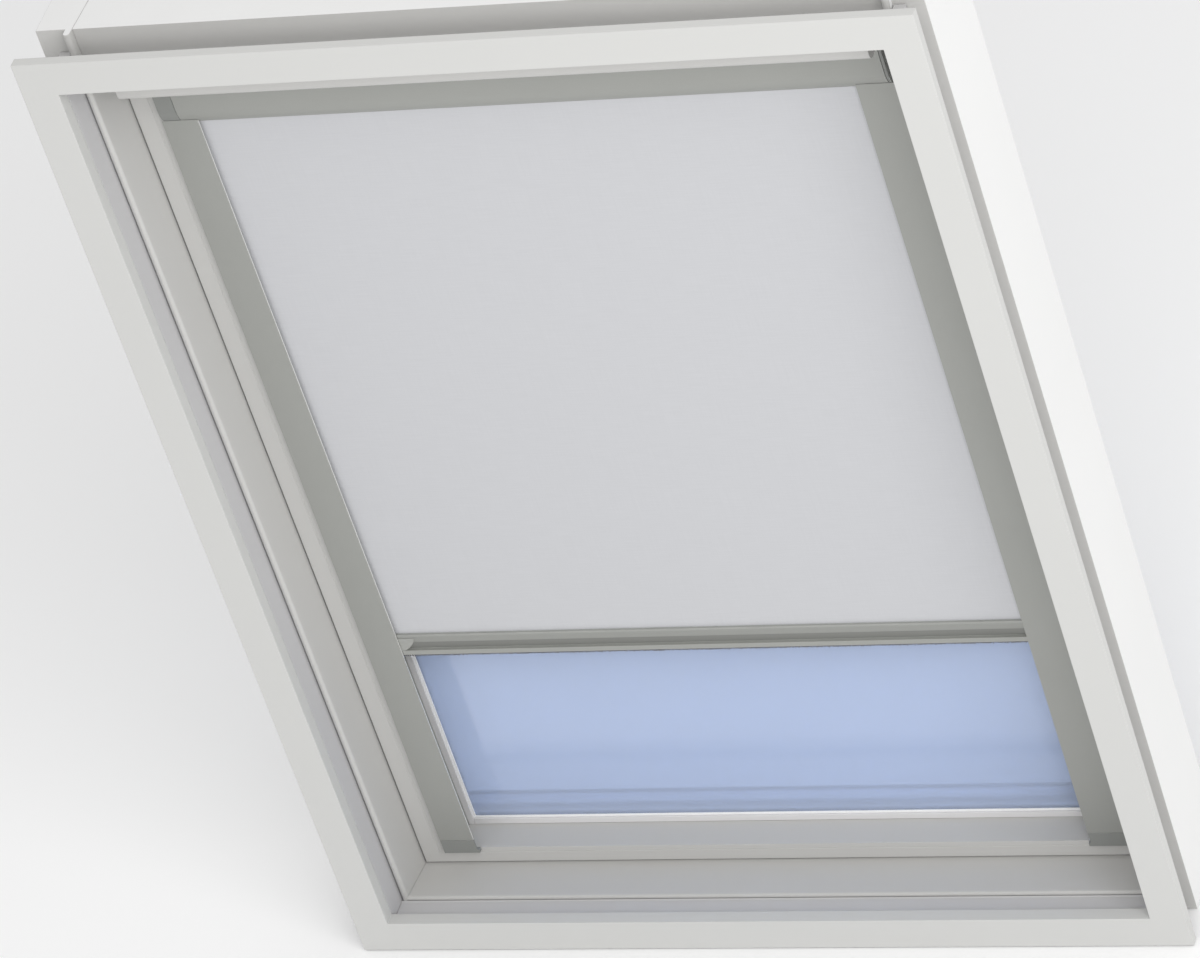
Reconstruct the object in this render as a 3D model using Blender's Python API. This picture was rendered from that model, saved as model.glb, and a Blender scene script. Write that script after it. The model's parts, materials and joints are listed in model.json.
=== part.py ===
"""Centre-pivot roof window with its lining, and the blackout roller blind fitted in its sash.

The window stands upright. +X runs to the right as seen from the room, +Y runs from the room
to the outside, and +Z runs up the slope. The origin is the middle of the frame's bottom face.
Lengths are in metres.
"""

import math
import random

import bmesh
import bpy
from mathutils import Matrix, Vector

# Clearances, and how far a cutter or a joined shape runs past the face it meets
FIT = 0.0003
TRAVEL_STOP = 0.0005
OVERSHOOT = 0.0005

# Straight runs that stand for a round stretch, and the angle past which an edge stays sharp
FRAME_NOSE_STEPS = 8
SASH_EDGE_STEPS = 2
CONTROL_NOSE_STEPS = 4
CONTROL_EAR_STEPS = 8
CASSETTE_LIP_STEPS = 6
BAR_WEB_STEPS = 6
SHARP_DEGREES = 35

# Opening in the lining, as seen from the room
OPENING_WIDTH = 0.690
OPENING_HEIGHT = 0.9155

# Architrave round the opening
ARCHITRAVE_BORDER = 0.0315
ARCHITRAVE_THICKNESS = 0.0095
ARCHITRAVE_LIP_WIDTH = 0.010
ARCHITRAVE_LIP_DEPTH = 0.013

# Lining boards between the architrave and the frame
LINING_THICKNESS = 0.010
LINING_BOTTOM_DROP = 0.0075
LINING_END_GAP = 0.0008

# Fixed frame: how far its faces stand from the opening's edge, and its depths from the room face
FRAME_SIDE_OVERHANG = 0.025
FRAME_FRONT = 0.044
FRAME_DEPTH = 0.090
FRAME_LIP_FRONT = 0.036
FRAME_LIP_GAP = 0.001
FRAME_SIDE_INSET = 0.007
FRAME_SIDE_TAPER = 0.0017
FRAME_BOTTOM_INSET = -0.0031
FRAME_BOTTOM_TAPER = -0.0037
FRAME_BOTTOM_LIP = 0.005
FRAME_TOP_INSET = 0.0085
FRAME_TOP_TAPER = -0.0017
FRAME_TOP_LIP = 0.0055

# Sash
SASH_SIDE_GAP = 0.0015
SASH_END_GAP = 0.0018
SASH_FRONT = 0.082
SASH_DEPTH = 0.054
STILE_WIDTH = 0.0233
SASH_RAIL_HEIGHT = 0.0175
SASH_EDGE_ROUND = 0.0012
SASH_GROOVE_INSET = 0.0073
SASH_GROOVE_WIDTH = 0.0008
SASH_GROOVE_DEPTH = 0.0006

# Glazing
BEAD_FRONT = 0.111
BEAD_THICKNESS = 0.0015
BEAD_SIDE_WIDTH = 0.0197
BEAD_END_WIDTH = 0.0060
GASKET_THICKNESS = 0.0011
GASKET_SIDE_LIP = 0.0022
GASKET_END_LIP = 0.0020
GLASS_EDGE_GAP = 0.002
PANE_THICKNESS = 0.004
PANE_SPACING = 0.012
SPACER_INSET = 0.001
SPACER_WIDTH = 0.006
COVER_THICKNESS = 0.0027
COVER_WIDTH = 0.034
COVER_INSET = 0.0015

# Pivot hinges at mid-height
PIVOT_PLATE_LENGTH = 0.070
PIVOT_PLATE_WIDTH = 0.022
PIVOT_PLATE_THICKNESS = 0.002
PIVOT_PIN_RADIUS = 0.005
PIVOT_PIN_REACH = 0.0125

# Countersunk screws
SCREW_SHANK_RADIUS = 0.00175
SCREW_HEAD_RADIUS = 0.0032
SCREW_HEAD_HEIGHT = 0.0014
SCREW_HEAD_RIM = 0.0003
SCREW_LENGTH = 0.014
SCREW_SIDES = 12

# Control bar along the top of the sash
CONTROL_BAR_END_INSET = 0.0183
CONTROL_BAR_FRONT = 0.036
CONTROL_BAR_BACK_GAP = 0.003
CONTROL_BAR_BELOW_SASH_TOP = 0.0264
CONTROL_BAR_HEIGHT = 0.016
CONTROL_BAR_ROUND = 0.006
CONTROL_BAR_NOSE_DROP = 0.0022
CONTROL_BAR_CHAMFER = 0.009
CONTROL_PIN_RADIUS = 0.0025
CONTROL_PIN_LENGTH = 0.006
CONTROL_PIN_BEHIND_BACK = 0.0025
CONTROL_PIN_ABOVE_BOTTOM = 0.010
CONTROL_EAR_THICKNESS = 0.003
CONTROL_EAR_RADIUS = 0.0055
CONTROL_NOTCH_WIDTH = 0.008
CONTROL_NOTCH_DEPTH = 0.011

# Side rails of the blind
RAIL_FRONT = 0.0775
RAIL_WIDTH = 0.0315
RAIL_WALL = 0.0015
RAIL_BACK_FLANGE = 0.0145
RAIL_SCREW_HEIGHT = 0.095
FOOT_HEIGHT = 0.0123
FOOT_LAP = 0.0028
FOOT_TOE = 0.002

# Cassette at the top: a flat front that rounds back below, into the lip over the fabric
CASSETTE_FRONT = 0.0746
CASSETTE_BOTTOM_BELOW_SASH_TOP = 0.0854
CASSETTE_HEIGHT = 0.053
CASSETTE_END_GAP = 0.0015
CASSETTE_WALL = 0.0012
CASSETTE_ROUND = 0.024
CASSETTE_ROUND_HEIGHT = 0.016
CASSETTE_LEFT_CAP = 0.0155
CASSETTE_RIGHT_CAP = 0.0025
BRACKET_WIDTH = 0.040
BRACKET_FROM_END = 0.120
BRACKET_DEPTH = 0.018
BRACKET_WALL = 0.002

# Fabric and its roller
FABRIC_BEHIND_RAIL = 0.005
FABRIC_THICKNESS = 0.00035
FABRIC_RAIL_OVERLAP = 0.0108
WOUND_LAYER = 0.0019
ROLLER_RADIUS = 0.008
ROLLER_WALL = 0.001
ROLLER_ABOVE_CASSETTE_BOTTOM = 0.027
ROLLER_END_MARGIN = 0.001
PLUG_FLANGE = 0.002
PLUG_LENGTH = 0.012
ROLLER_SIDES = 24
SHAFT_RADIUS = 0.0022
SHAFT_REACH = 0.225
SHAFT_SEAT = 0.009
SPRING_WIRE_RADIUS = 0.0004
SPRING_CURLS = 24
SPRING_PITCH = 0.008
SPRING_POINTS_PER_CURL = 8
SPRING_START = 0.016

# Bottom bar, as photographed part of the way down; its ends run behind the rails' front walls
BAR_TOP_ABOVE_SASH_BOTTOM = 0.2692
BAR_RAIL_OVERLAP = 0.004
BAR_BEHIND_RAIL = 0.0005
BAR_DEPTH = 0.014
BAR_UPPER_LIP = 0.0030
BAR_GRIP_SLOPE = 0.0078
BAR_GRIP_FLOOR = 0.0069
BAR_GRIP_DEPTH = 0.0032
BAR_LOWER_LIP = 0.0048
BAR_EDGE_ROUND = 0.0005
BAR_END_LENGTH = 0.0025
BAR_WEB_TOP = 0.0172
BAR_WEB_BOTTOM = 0.0045
BAR_WEB_BOW = 0.0019
BAR_SLOT_WIDTH = 0.0018
BAR_SLOT_DEPTH = 0.0015
BAR_POCKET_WIDTH = 0.004
BAR_POCKET_DEPTH = 0.0038
SPLINE_RADIUS = 0.0015
TONGUE_REACH = 0.0165
TONGUE_THICKNESS = 0.0055
TONGUE_HEIGHT = 0.0115
TONGUE_BELOW_TOP = 0.0008

# Brush strip under the bottom bar
BRUSH_FROM_FRONT = 0.0008
BRUSH_GROOVE_WIDTH = 0.0044
BRUSH_GROOVE_DEPTH = 0.0022
BRUSH_BACKING = 0.0016
BRUSH_STRANDS = 300
BRUSH_STRAND_LENGTH = 0.0034
BRUSH_LENGTH_SPREAD = 0.0008
BRUSH_STRAND_MARGIN = 0.00035
BRUSH_TIP_SCALE = 0.45
BRUSH_TIP_SHIFT = 0.00025
BRUSH_SEED = 7

# Derived: the room face's depth in the window's own axes
ROOM_FACE_Y = -(FRAME_FRONT + FRAME_DEPTH / 2)

# Derived: the opening
OPENING_HALF = OPENING_WIDTH / 2
OPENING_LOW = ARCHITRAVE_BORDER
OPENING_HIGH = OPENING_LOW + OPENING_HEIGHT
OUTER_HALF = OPENING_HALF + ARCHITRAVE_BORDER
OUTER_TOP = OPENING_HIGH + ARCHITRAVE_BORDER

# Derived: the frame
FRAME_HALF = OPENING_HALF + FRAME_SIDE_OVERHANG
FRAME_SIDE_FACE = OPENING_HALF - FRAME_SIDE_INSET
FRAME_SIDE_REAR = FRAME_SIDE_FACE - FRAME_SIDE_TAPER
FRAME_BOTTOM_FACE = OPENING_LOW + FRAME_BOTTOM_INSET
FRAME_BOTTOM_REAR = FRAME_BOTTOM_FACE + FRAME_BOTTOM_TAPER
FRAME_TOP_FACE = OPENING_HIGH - FRAME_TOP_INSET
FRAME_TOP_REAR = FRAME_TOP_FACE - FRAME_TOP_TAPER
FRAME_TAPER_END = SASH_FRONT - TRAVEL_STOP
FRAME_BACK = FRAME_FRONT + FRAME_DEPTH

# Derived: the sash and its pivot
SASH_HALF = FRAME_SIDE_REAR - SASH_SIDE_GAP
SASH_LOW = FRAME_BOTTOM_REAR + SASH_END_GAP
SASH_HIGH = FRAME_TOP_REAR - SASH_END_GAP
SASH_INNER_HALF = SASH_HALF - STILE_WIDTH
SASH_INNER_LOW = SASH_LOW + SASH_RAIL_HEIGHT
SASH_INNER_HIGH = SASH_HIGH - SASH_RAIL_HEIGHT
SASH_BACK = SASH_FRONT + SASH_DEPTH
SASH_MITRE_RATIO = SASH_RAIL_HEIGHT / STILE_WIDTH
PIVOT_Z = (SASH_LOW + SASH_HIGH) / 2
PIVOT_DEPTH = SASH_FRONT + SASH_DEPTH / 2

# Derived: the glazing
GASKET_FRONT = BEAD_FRONT + BEAD_THICKNESS + FIT
PANE_FRONT = GASKET_FRONT + GASKET_THICKNESS + FIT
SPACER_FRONT = PANE_FRONT + PANE_THICKNESS + FIT
OUTER_PANE_FRONT = PANE_FRONT + PANE_THICKNESS + PANE_SPACING
GLASS_HALF = SASH_INNER_HALF - GLASS_EDGE_GAP
GLASS_LOW = SASH_INNER_LOW + GLASS_EDGE_GAP
GLASS_HIGH = SASH_INNER_HIGH - GLASS_EDGE_GAP

# Derived: the control bar
CONTROL_HALF = SASH_HALF - CONTROL_BAR_END_INSET
CONTROL_LOW = SASH_HIGH - CONTROL_BAR_BELOW_SASH_TOP
CONTROL_HIGH = CONTROL_LOW + CONTROL_BAR_HEIGHT
CONTROL_BACK = SASH_FRONT - CONTROL_BAR_BACK_GAP
CONTROL_AXIS_DEPTH = CONTROL_BACK - CONTROL_PIN_BEHIND_BACK
CONTROL_AXIS_Z = CONTROL_LOW + CONTROL_PIN_ABOVE_BOTTOM

# Derived: the blind's rails, cassette, fabric and bar
RAIL_OUTER = SASH_INNER_HALF - FIT
RAIL_INNER = RAIL_OUTER - RAIL_WIDTH
RAIL_BACK = BEAD_FRONT - 2 * FIT
CASSETTE_LOW = SASH_HIGH - CASSETTE_BOTTOM_BELOW_SASH_TOP
CASSETTE_HIGH = CASSETTE_LOW + CASSETTE_HEIGHT
CASSETTE_HALF = SASH_INNER_HALF - CASSETTE_END_GAP
CASSETTE_BACK = BEAD_FRONT - 2 * FIT
FOOT_LOW = SASH_INNER_LOW + FIT
FOOT_HIGH = FOOT_LOW + FOOT_HEIGHT
RAIL_LOW = FOOT_HIGH + FIT
RAIL_HIGH = CASSETTE_LOW + CASSETTE_ROUND_HEIGHT
FABRIC_DEPTH = RAIL_FRONT + FABRIC_BEHIND_RAIL
FABRIC_HALF = RAIL_INNER + FABRIC_RAIL_OVERLAP
WOUND_RADIUS = ROLLER_RADIUS + FIT + WOUND_LAYER
ROLLER_DEPTH = FABRIC_DEPTH + FABRIC_THICKNESS / 2 + FIT + WOUND_RADIUS
ROLLER_Z = CASSETTE_LOW + ROLLER_ABOVE_CASSETTE_BOTTOM
ROLLER_HALF = FABRIC_HALF + ROLLER_END_MARGIN
LEFT_CAP_FACE = CASSETTE_HALF - CASSETTE_LEFT_CAP
BRACKET_CENTRE = CASSETTE_HALF - BRACKET_FROM_END
BAR_TOP = SASH_LOW + BAR_TOP_ABOVE_SASH_BOTTOM
GRIP_TOP = BAR_TOP - BAR_UPPER_LIP
GRIP_LOW = GRIP_TOP - BAR_GRIP_SLOPE - BAR_GRIP_FLOOR
BAR_LOW = GRIP_LOW - BAR_LOWER_LIP
BAR_HALF = RAIL_INNER + BAR_RAIL_OVERLAP
BAR_BODY_HALF = BAR_HALF - BAR_END_LENGTH
BAR_FRONT = RAIL_FRONT + RAIL_WALL + BAR_BEHIND_RAIL
SLOT_NEAR = FABRIC_DEPTH - BAR_SLOT_WIDTH / 2
SLOT_FAR = FABRIC_DEPTH + BAR_SLOT_WIDTH / 2
POCKET_FAR = SLOT_NEAR + BAR_POCKET_WIDTH
POCKET_FLOOR = BAR_TOP - BAR_SLOT_DEPTH - BAR_POCKET_DEPTH

# Colours with roughness and metallic value
WHITE_PAINT = ((0.60, 0.60, 0.58), 0.45, 0.0)
BOARD_WHITE = ((0.52, 0.51, 0.52), 0.55, 0.0)
SASH_PAINT = ((0.50, 0.50, 0.47), 0.45, 0.0)
BLIND_GREY = ((0.38, 0.38, 0.35), 0.40, 0.6)
CAP_GREY = ((0.28, 0.29, 0.27), 0.50, 0.0)
BRIGHT_ALUMINIUM = ((0.75, 0.76, 0.77), 0.35, 1.0)
OUTER_ALUMINIUM = ((0.20, 0.20, 0.21), 0.45, 0.8)
STEEL = ((0.55, 0.55, 0.56), 0.30, 1.0)
CLEAR_GLASS = ((0.80, 0.86, 0.90), 0.05, 0.0)
SEAL_WHITE = ((0.75, 0.74, 0.76), 0.60, 0.0)
BLIND_FABRIC = ((0.58, 0.58, 0.60), 0.85, 0.0)
BRUSH_DARK = ((0.06, 0.06, 0.07), 0.90, 0.0)


def clear_scene():
    """Empty the scene and the meshes and materials that nothing uses any more."""
    for obj in list(bpy.data.objects):
        bpy.data.objects.remove(obj, do_unlink=True)
    for store in (bpy.data.meshes, bpy.data.curves, bpy.data.materials):
        for block in list(store):
            store.remove(block)


def at_depth(value):
    """Y of a depth counted from the room face."""
    return ROOM_FACE_Y + value


def material_for(name, look):
    colour, roughness, metallic = look
    material = bpy.data.materials.new(name)
    material.use_nodes = True
    shader = material.node_tree.nodes["Principled BSDF"]
    shader.inputs["Base Color"].default_value = (*colour, 1.0)
    shader.inputs["Roughness"].default_value = roughness
    shader.inputs["Metallic"].default_value = metallic
    return material


def empty(name, location, parent=None):
    """An empty on a joint's axis, which the pieces of one body hang from."""
    holder = bpy.data.objects.new(name, None)
    holder.empty_display_size = 0.05
    bpy.context.scene.collection.objects.link(holder)
    here = Vector(location)
    holder["place"] = list(here)
    if parent is not None:
        holder.parent = parent
        here = here - Vector(parent["place"])
    holder.location = here
    return holder


def place(obj, world, holder):
    """Hang obj from its holder, at a point given in the window's own axes."""
    bpy.context.scene.collection.objects.link(obj)
    obj.parent = holder
    obj.location = Vector(world) - Vector(holder["place"])


def piece(name, bm, look, holder, smooth=False):
    """Turn a mesh drawn in the window's axes into a named object placed at its own middle."""
    bmesh.ops.recalc_face_normals(bm, faces=bm.faces)
    low = Vector(min(v.co[i] for v in bm.verts) for i in range(3))
    high = Vector(max(v.co[i] for v in bm.verts) for i in range(3))
    middle = (low + high) / 2
    bmesh.ops.translate(bm, vec=-middle, verts=bm.verts)
    mesh = bpy.data.meshes.new(name)
    bm.to_mesh(mesh)
    bm.free()
    if smooth:
        mesh.shade_smooth()
        mesh.set_sharp_from_angle(angle=math.radians(SHARP_DEGREES))
    mesh.materials.append(material_for(name, look))
    obj = bpy.data.objects.new(name, mesh)
    place(obj, middle, holder)
    return obj


def cut(obj, name, bm):
    """Cut a helper shape, drawn in the window's axes, out of obj."""
    bmesh.ops.recalc_face_normals(bm, faces=bm.faces)
    mesh = bpy.data.meshes.new(name)
    bm.to_mesh(mesh)
    bm.free()
    cutter = bpy.data.objects.new(name, mesh)
    bpy.context.scene.collection.objects.link(cutter)
    cutter.hide_render = True
    cutter.display_type = "WIRE"
    boolean = obj.modifiers.new(name, "BOOLEAN")
    boolean.operation = "DIFFERENCE"
    boolean.solver = "EXACT"
    boolean.object = cutter


def join(obj, name, bm):
    """Unite a helper shape, drawn in the window's axes, with obj."""
    cut(obj, name, bm)
    obj.modifiers[name].operation = "UNION"


def skin(bm, near, far):
    """Quads from one ring of points to the next."""
    count = len(near)
    for i in range(count):
        j = (i + 1) % count
        bm.faces.new((near[i], near[j], far[j], far[i]))


def close_rings(bm, rings):
    """Skin neighbouring rings of points, and close the first and the last one."""
    for near, far in zip(rings, rings[1:]):
        skin(bm, near, far)
    bm.faces.new(list(reversed(rings[0])))
    bm.faces.new(rings[-1])


def loop_rings(bm, rings):
    """Skin neighbouring rings of points, and the last one back to the first, round a hole."""
    for near, far in zip(rings, rings[1:] + rings[:1]):
        skin(bm, near, far)


def along_x(bm, section, low, high):
    """Extrude a section of (y, z) points from x = low to x = high."""
    close_rings(bm, [[bm.verts.new((x, y, z)) for y, z in section] for x in (low, high)])


def along_y(bm, section, low, high):
    """Extrude a section of (x, z) points from y = low to y = high."""
    close_rings(bm, [[bm.verts.new((x, y, z)) for x, z in section] for y in (low, high)])


def along_z(bm, section, low, high):
    """Extrude a section of (x, y) points from z = low to z = high."""
    close_rings(bm, [[bm.verts.new((x, y, z)) for x, y in section] for z in (low, high)])


def add_box(bm, x_range, y_range, z_range):
    corners = [
        (x_range[0], y_range[0]),
        (x_range[1], y_range[0]),
        (x_range[1], y_range[1]),
        (x_range[0], y_range[1]),
    ]
    along_z(bm, corners, *z_range)


def box(name, x_range, y_range, z_range, look, holder):
    bm = bmesh.new()
    add_box(bm, x_range, y_range, z_range)
    return piece(name, bm, look, holder)


def arc(centre, radius, start, end, steps):
    """Points on an arc about centre, from angle start to angle end in degrees, ends included."""
    points = []
    for i in range(steps + 1):
        angle = math.radians(start + (end - start) * i / steps)
        points.append((centre[0] + radius * math.cos(angle), centre[1] + radius * math.sin(angle)))
    return points


def bowed(start, end, height, steps):
    """Points from start to end on a curve that bows out to the left of the way by height."""
    start, end = Vector(start), Vector(end)
    way = end - start
    left = Vector((-way.y, way.x)).normalized()
    shares = [i / steps for i in range(steps + 1)]
    return [tuple(start + way * t + left * (height * 4 * t * (1 - t))) for t in shares]


def circles(bm, profile, origin, direction, sides):
    """A ring of points for each (radius, distance) on the line from origin along direction."""
    turn = Vector((0, 0, 1)).rotation_difference(Vector(direction)).to_matrix().to_4x4()
    frame = Matrix.Translation(origin) @ turn
    angles = [2 * math.pi * i / sides for i in range(sides)]
    rings = []
    for radius, distance in profile:
        ring = [Vector((radius * math.cos(a), radius * math.sin(a), distance)) for a in angles]
        rings.append([bm.verts.new(frame @ point) for point in ring])
    return rings


def turned(bm, profile, origin, direction, sides):
    """Turn a profile of (radius, distance) points about the line from origin along direction."""
    close_rings(bm, circles(bm, profile, origin, direction, sides))


def rod(bm, radius, start, direction, length, sides=ROLLER_SIDES):
    turned(bm, [(radius, 0), (radius, length)], start, direction, sides)


def ring_rod(bm, outer, inner, start, direction, length, sides=ROLLER_SIDES):
    """A tube: its outside, its bore and the two flat rings that join them."""
    profile = [(outer, 0), (outer, length), (inner, length), (inner, 0)]
    loop_rings(bm, circles(bm, profile, start, direction, sides))


def screw(bm, head, direction, gap=0.0):
    """A countersunk screw whose head is flush at the point head, or with a gap the hole for it."""
    face = -OVERSHOOT if gap else 0.0
    profile = [
        (SCREW_HEAD_RADIUS + gap, face),
        (SCREW_HEAD_RADIUS + gap, SCREW_HEAD_RIM),
        (SCREW_SHANK_RADIUS + gap, SCREW_HEAD_HEIGHT),
        (SCREW_SHANK_RADIUS + gap, SCREW_LENGTH + gap),
    ]
    turned(bm, profile, head, direction, SCREW_SIDES)


def fit_screw(name, head, direction, joined, holder):
    """One screw as its own piece, and the clearance holes for it in the pieces that it joins."""
    bm = bmesh.new()
    screw(bm, head, direction)
    piece(name, bm, STEEL, holder, smooth=True)
    for target in joined:
        bm = bmesh.new()
        screw(bm, head, direction, FIT)
        cut(target, f"{name}_hole_in_{target.name}", bm)


def mitred_member(side, section, half_width, low, high, ratio):
    """One member of a mitred rectangle. Section points are (inset from the outer edge, y).

    The ratio is the end members' height over the side members' width, so that the mitre runs
    from corner to corner.
    """
    bm = bmesh.new()
    rings = []
    for end in (-1, 1):
        ring = []
        for inset, y in section:
            rise = inset * ratio
            if side in ("left", "right"):
                x = (half_width - inset) * (-1 if side == "left" else 1)
                z = low + rise + FIT if end < 0 else high - rise - FIT
            else:
                x = end * (half_width - inset - FIT)
                z = low + rise if side == "bottom" else high - rise
            ring.append(bm.verts.new((x, y, z)))
        rings.append(ring)
    close_rings(bm, rings)
    return bm


def make_architrave(holder):
    """Flat boards round the opening, with a deeper lip at the inner edge that laps the lining."""
    front = at_depth(0)
    back = at_depth(ARCHITRAVE_THICKNESS)
    lip_back = at_depth(ARCHITRAVE_LIP_DEPTH)
    lip_start = ARCHITRAVE_BORDER - ARCHITRAVE_LIP_WIDTH
    section = [
        (0, front),
        (ARCHITRAVE_BORDER, front),
        (ARCHITRAVE_BORDER, lip_back),
        (lip_start, lip_back),
        (lip_start, back),
        (0, back),
    ]
    for side in ("left", "right", "bottom", "top"):
        bm = mitred_member(side, section, OUTER_HALF, 0, OUTER_TOP, 1.0)
        piece(f"architrave_{side}", bm, WHITE_PAINT, holder)


def make_lining(holder):
    """Boards between the architrave and the frame; the bottom one lies lower than the opening."""
    front = at_depth(ARCHITRAVE_LIP_DEPTH + FIT)
    side_back = at_depth(FRAME_FRONT - TRAVEL_STOP)
    end_back = at_depth(FRAME_LIP_FRONT - LINING_END_GAP)
    bottom_face = OPENING_LOW - LINING_BOTTOM_DROP
    low = bottom_face - LINING_THICKNESS
    high = OPENING_HIGH + LINING_THICKNESS
    outer = OPENING_HALF + LINING_THICKNESS
    between = OPENING_HALF - FIT
    depths = (front, side_back)
    box("lining_left", (-outer, -OPENING_HALF), depths, (low, high), BOARD_WHITE, holder)
    box("lining_right", (OPENING_HALF, outer), depths, (low, high), BOARD_WHITE, holder)
    depths = (front, end_back)
    box("lining_top", (-between, between), depths, (OPENING_HIGH, high), BOARD_WHITE, holder)
    box("lining_bottom", (-between, between), depths, (low, bottom_face), BOARD_WHITE, holder)


def frame_section(lip_outer, face, rear):
    """Section of a frame member as (distance in from its outer face, y) points."""
    radius = (face - lip_outer) / 2
    nose = (lip_outer + radius, at_depth(FRAME_LIP_FRONT) + radius)
    return [
        (0, at_depth(FRAME_FRONT)),
        (lip_outer, at_depth(FRAME_FRONT)),
        *arc(nose, radius, 180, 360, FRAME_NOSE_STEPS),
        (rear, at_depth(FRAME_TAPER_END)),
        (rear, at_depth(FRAME_BACK)),
        (0, at_depth(FRAME_BACK)),
    ]


def side_frame_section():
    lip_outer = FRAME_SIDE_OVERHANG + FRAME_LIP_GAP
    return frame_section(lip_outer, FRAME_HALF - FRAME_SIDE_FACE, FRAME_HALF - FRAME_SIDE_REAR)


def cope_cutter(sign):
    """What an end member loses so that its end follows the side member's face."""
    face = [p for p in side_frame_section() if p[0] > FRAME_SIDE_OVERHANG + FRAME_LIP_GAP]
    nose = min(face, key=lambda p: p[1])
    ahead = at_depth(FRAME_LIP_FRONT - ARCHITRAVE_LIP_DEPTH)
    behind = at_depth(FRAME_BACK + ARCHITRAVE_LIP_DEPTH)
    inner_side = [p for p in face if p[0] >= nose[0]]
    outline = [(nose[0], ahead), *inner_side, (inner_side[-1][0], behind)]
    outline += [(-ARCHITRAVE_BORDER, behind), (-ARCHITRAVE_BORDER, ahead)]
    bm = bmesh.new()
    section = [(sign * (FRAME_HALF - FIT - inset), y) for inset, y in outline]
    along_z(bm, section, -ARCHITRAVE_BORDER, OUTER_TOP + ARCHITRAVE_BORDER)
    return bm


def make_frame(holder):
    """Fixed frame: two full-height side members and two end members coped to them."""
    members = {}
    for name, sign in (("frame_left", -1), ("frame_right", 1)):
        bm = bmesh.new()
        section = [(sign * (FRAME_HALF - inset), y) for inset, y in side_frame_section()]
        along_z(bm, section, 0, OUTER_TOP)
        members[name] = piece(name, bm, WHITE_PAINT, holder)
    bottom = frame_section(
        FRAME_BOTTOM_FACE - FRAME_BOTTOM_LIP, FRAME_BOTTOM_FACE, FRAME_BOTTOM_REAR
    )
    top_face = OUTER_TOP - FRAME_TOP_FACE
    top = frame_section(top_face - FRAME_TOP_LIP, top_face, OUTER_TOP - FRAME_TOP_REAR)
    sections = {
        "frame_bottom": [(y, inset) for inset, y in bottom],
        "frame_top": [(y, OUTER_TOP - inset) for inset, y in top],
    }
    for name, section in sections.items():
        bm = bmesh.new()
        along_x(bm, section, -FRAME_HALF, FRAME_HALF)
        members[name] = piece(name, bm, WHITE_PAINT, holder)
        for side, sign in (("left", -1), ("right", 1)):
            cut(members[name], f"{name}_cope_{side}", cope_cutter(sign))
    return members


def make_sash(holder):
    """Sash of four mitred members with a fine groove round their room faces."""
    front = at_depth(SASH_FRONT)
    back = at_depth(SASH_BACK)
    groove = STILE_WIDTH - SASH_GROOVE_INSET
    floor = front + SASH_GROOVE_DEPTH
    edge = (SASH_EDGE_ROUND, front + SASH_EDGE_ROUND)
    section = [
        (0, back),
        *arc(edge, SASH_EDGE_ROUND, 180, 270, SASH_EDGE_STEPS),
        (groove - SASH_GROOVE_WIDTH / 2, front),
        (groove, floor),
        (groove + SASH_GROOVE_WIDTH / 2, front),
        (STILE_WIDTH, front),
        (STILE_WIDTH, back),
    ]
    members = {}
    for side in ("left", "right", "bottom", "top"):
        bm = mitred_member(side, section, SASH_HALF, SASH_LOW, SASH_HIGH, SASH_MITRE_RATIO)
        members[f"sash_{side}"] = piece(f"sash_{side}", bm, SASH_PAINT, holder)
    return members


def rectangle_ring(name, outer, inner, depths, look, holder):
    """A flat closed ring; outer and inner are (half width, low z, high z)."""
    bm = bmesh.new()
    rings = []
    for half, low, high in (outer, inner):
        corners = ((-half, low), (half, low), (half, high), (-half, high))
        rings.append([[bm.verts.new((x, y, z)) for x, z in corners] for y in depths])
    loop_rings(bm, [rings[0][0], rings[0][1], rings[1][1], rings[1][0]])
    return piece(name, bm, look, holder)


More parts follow.
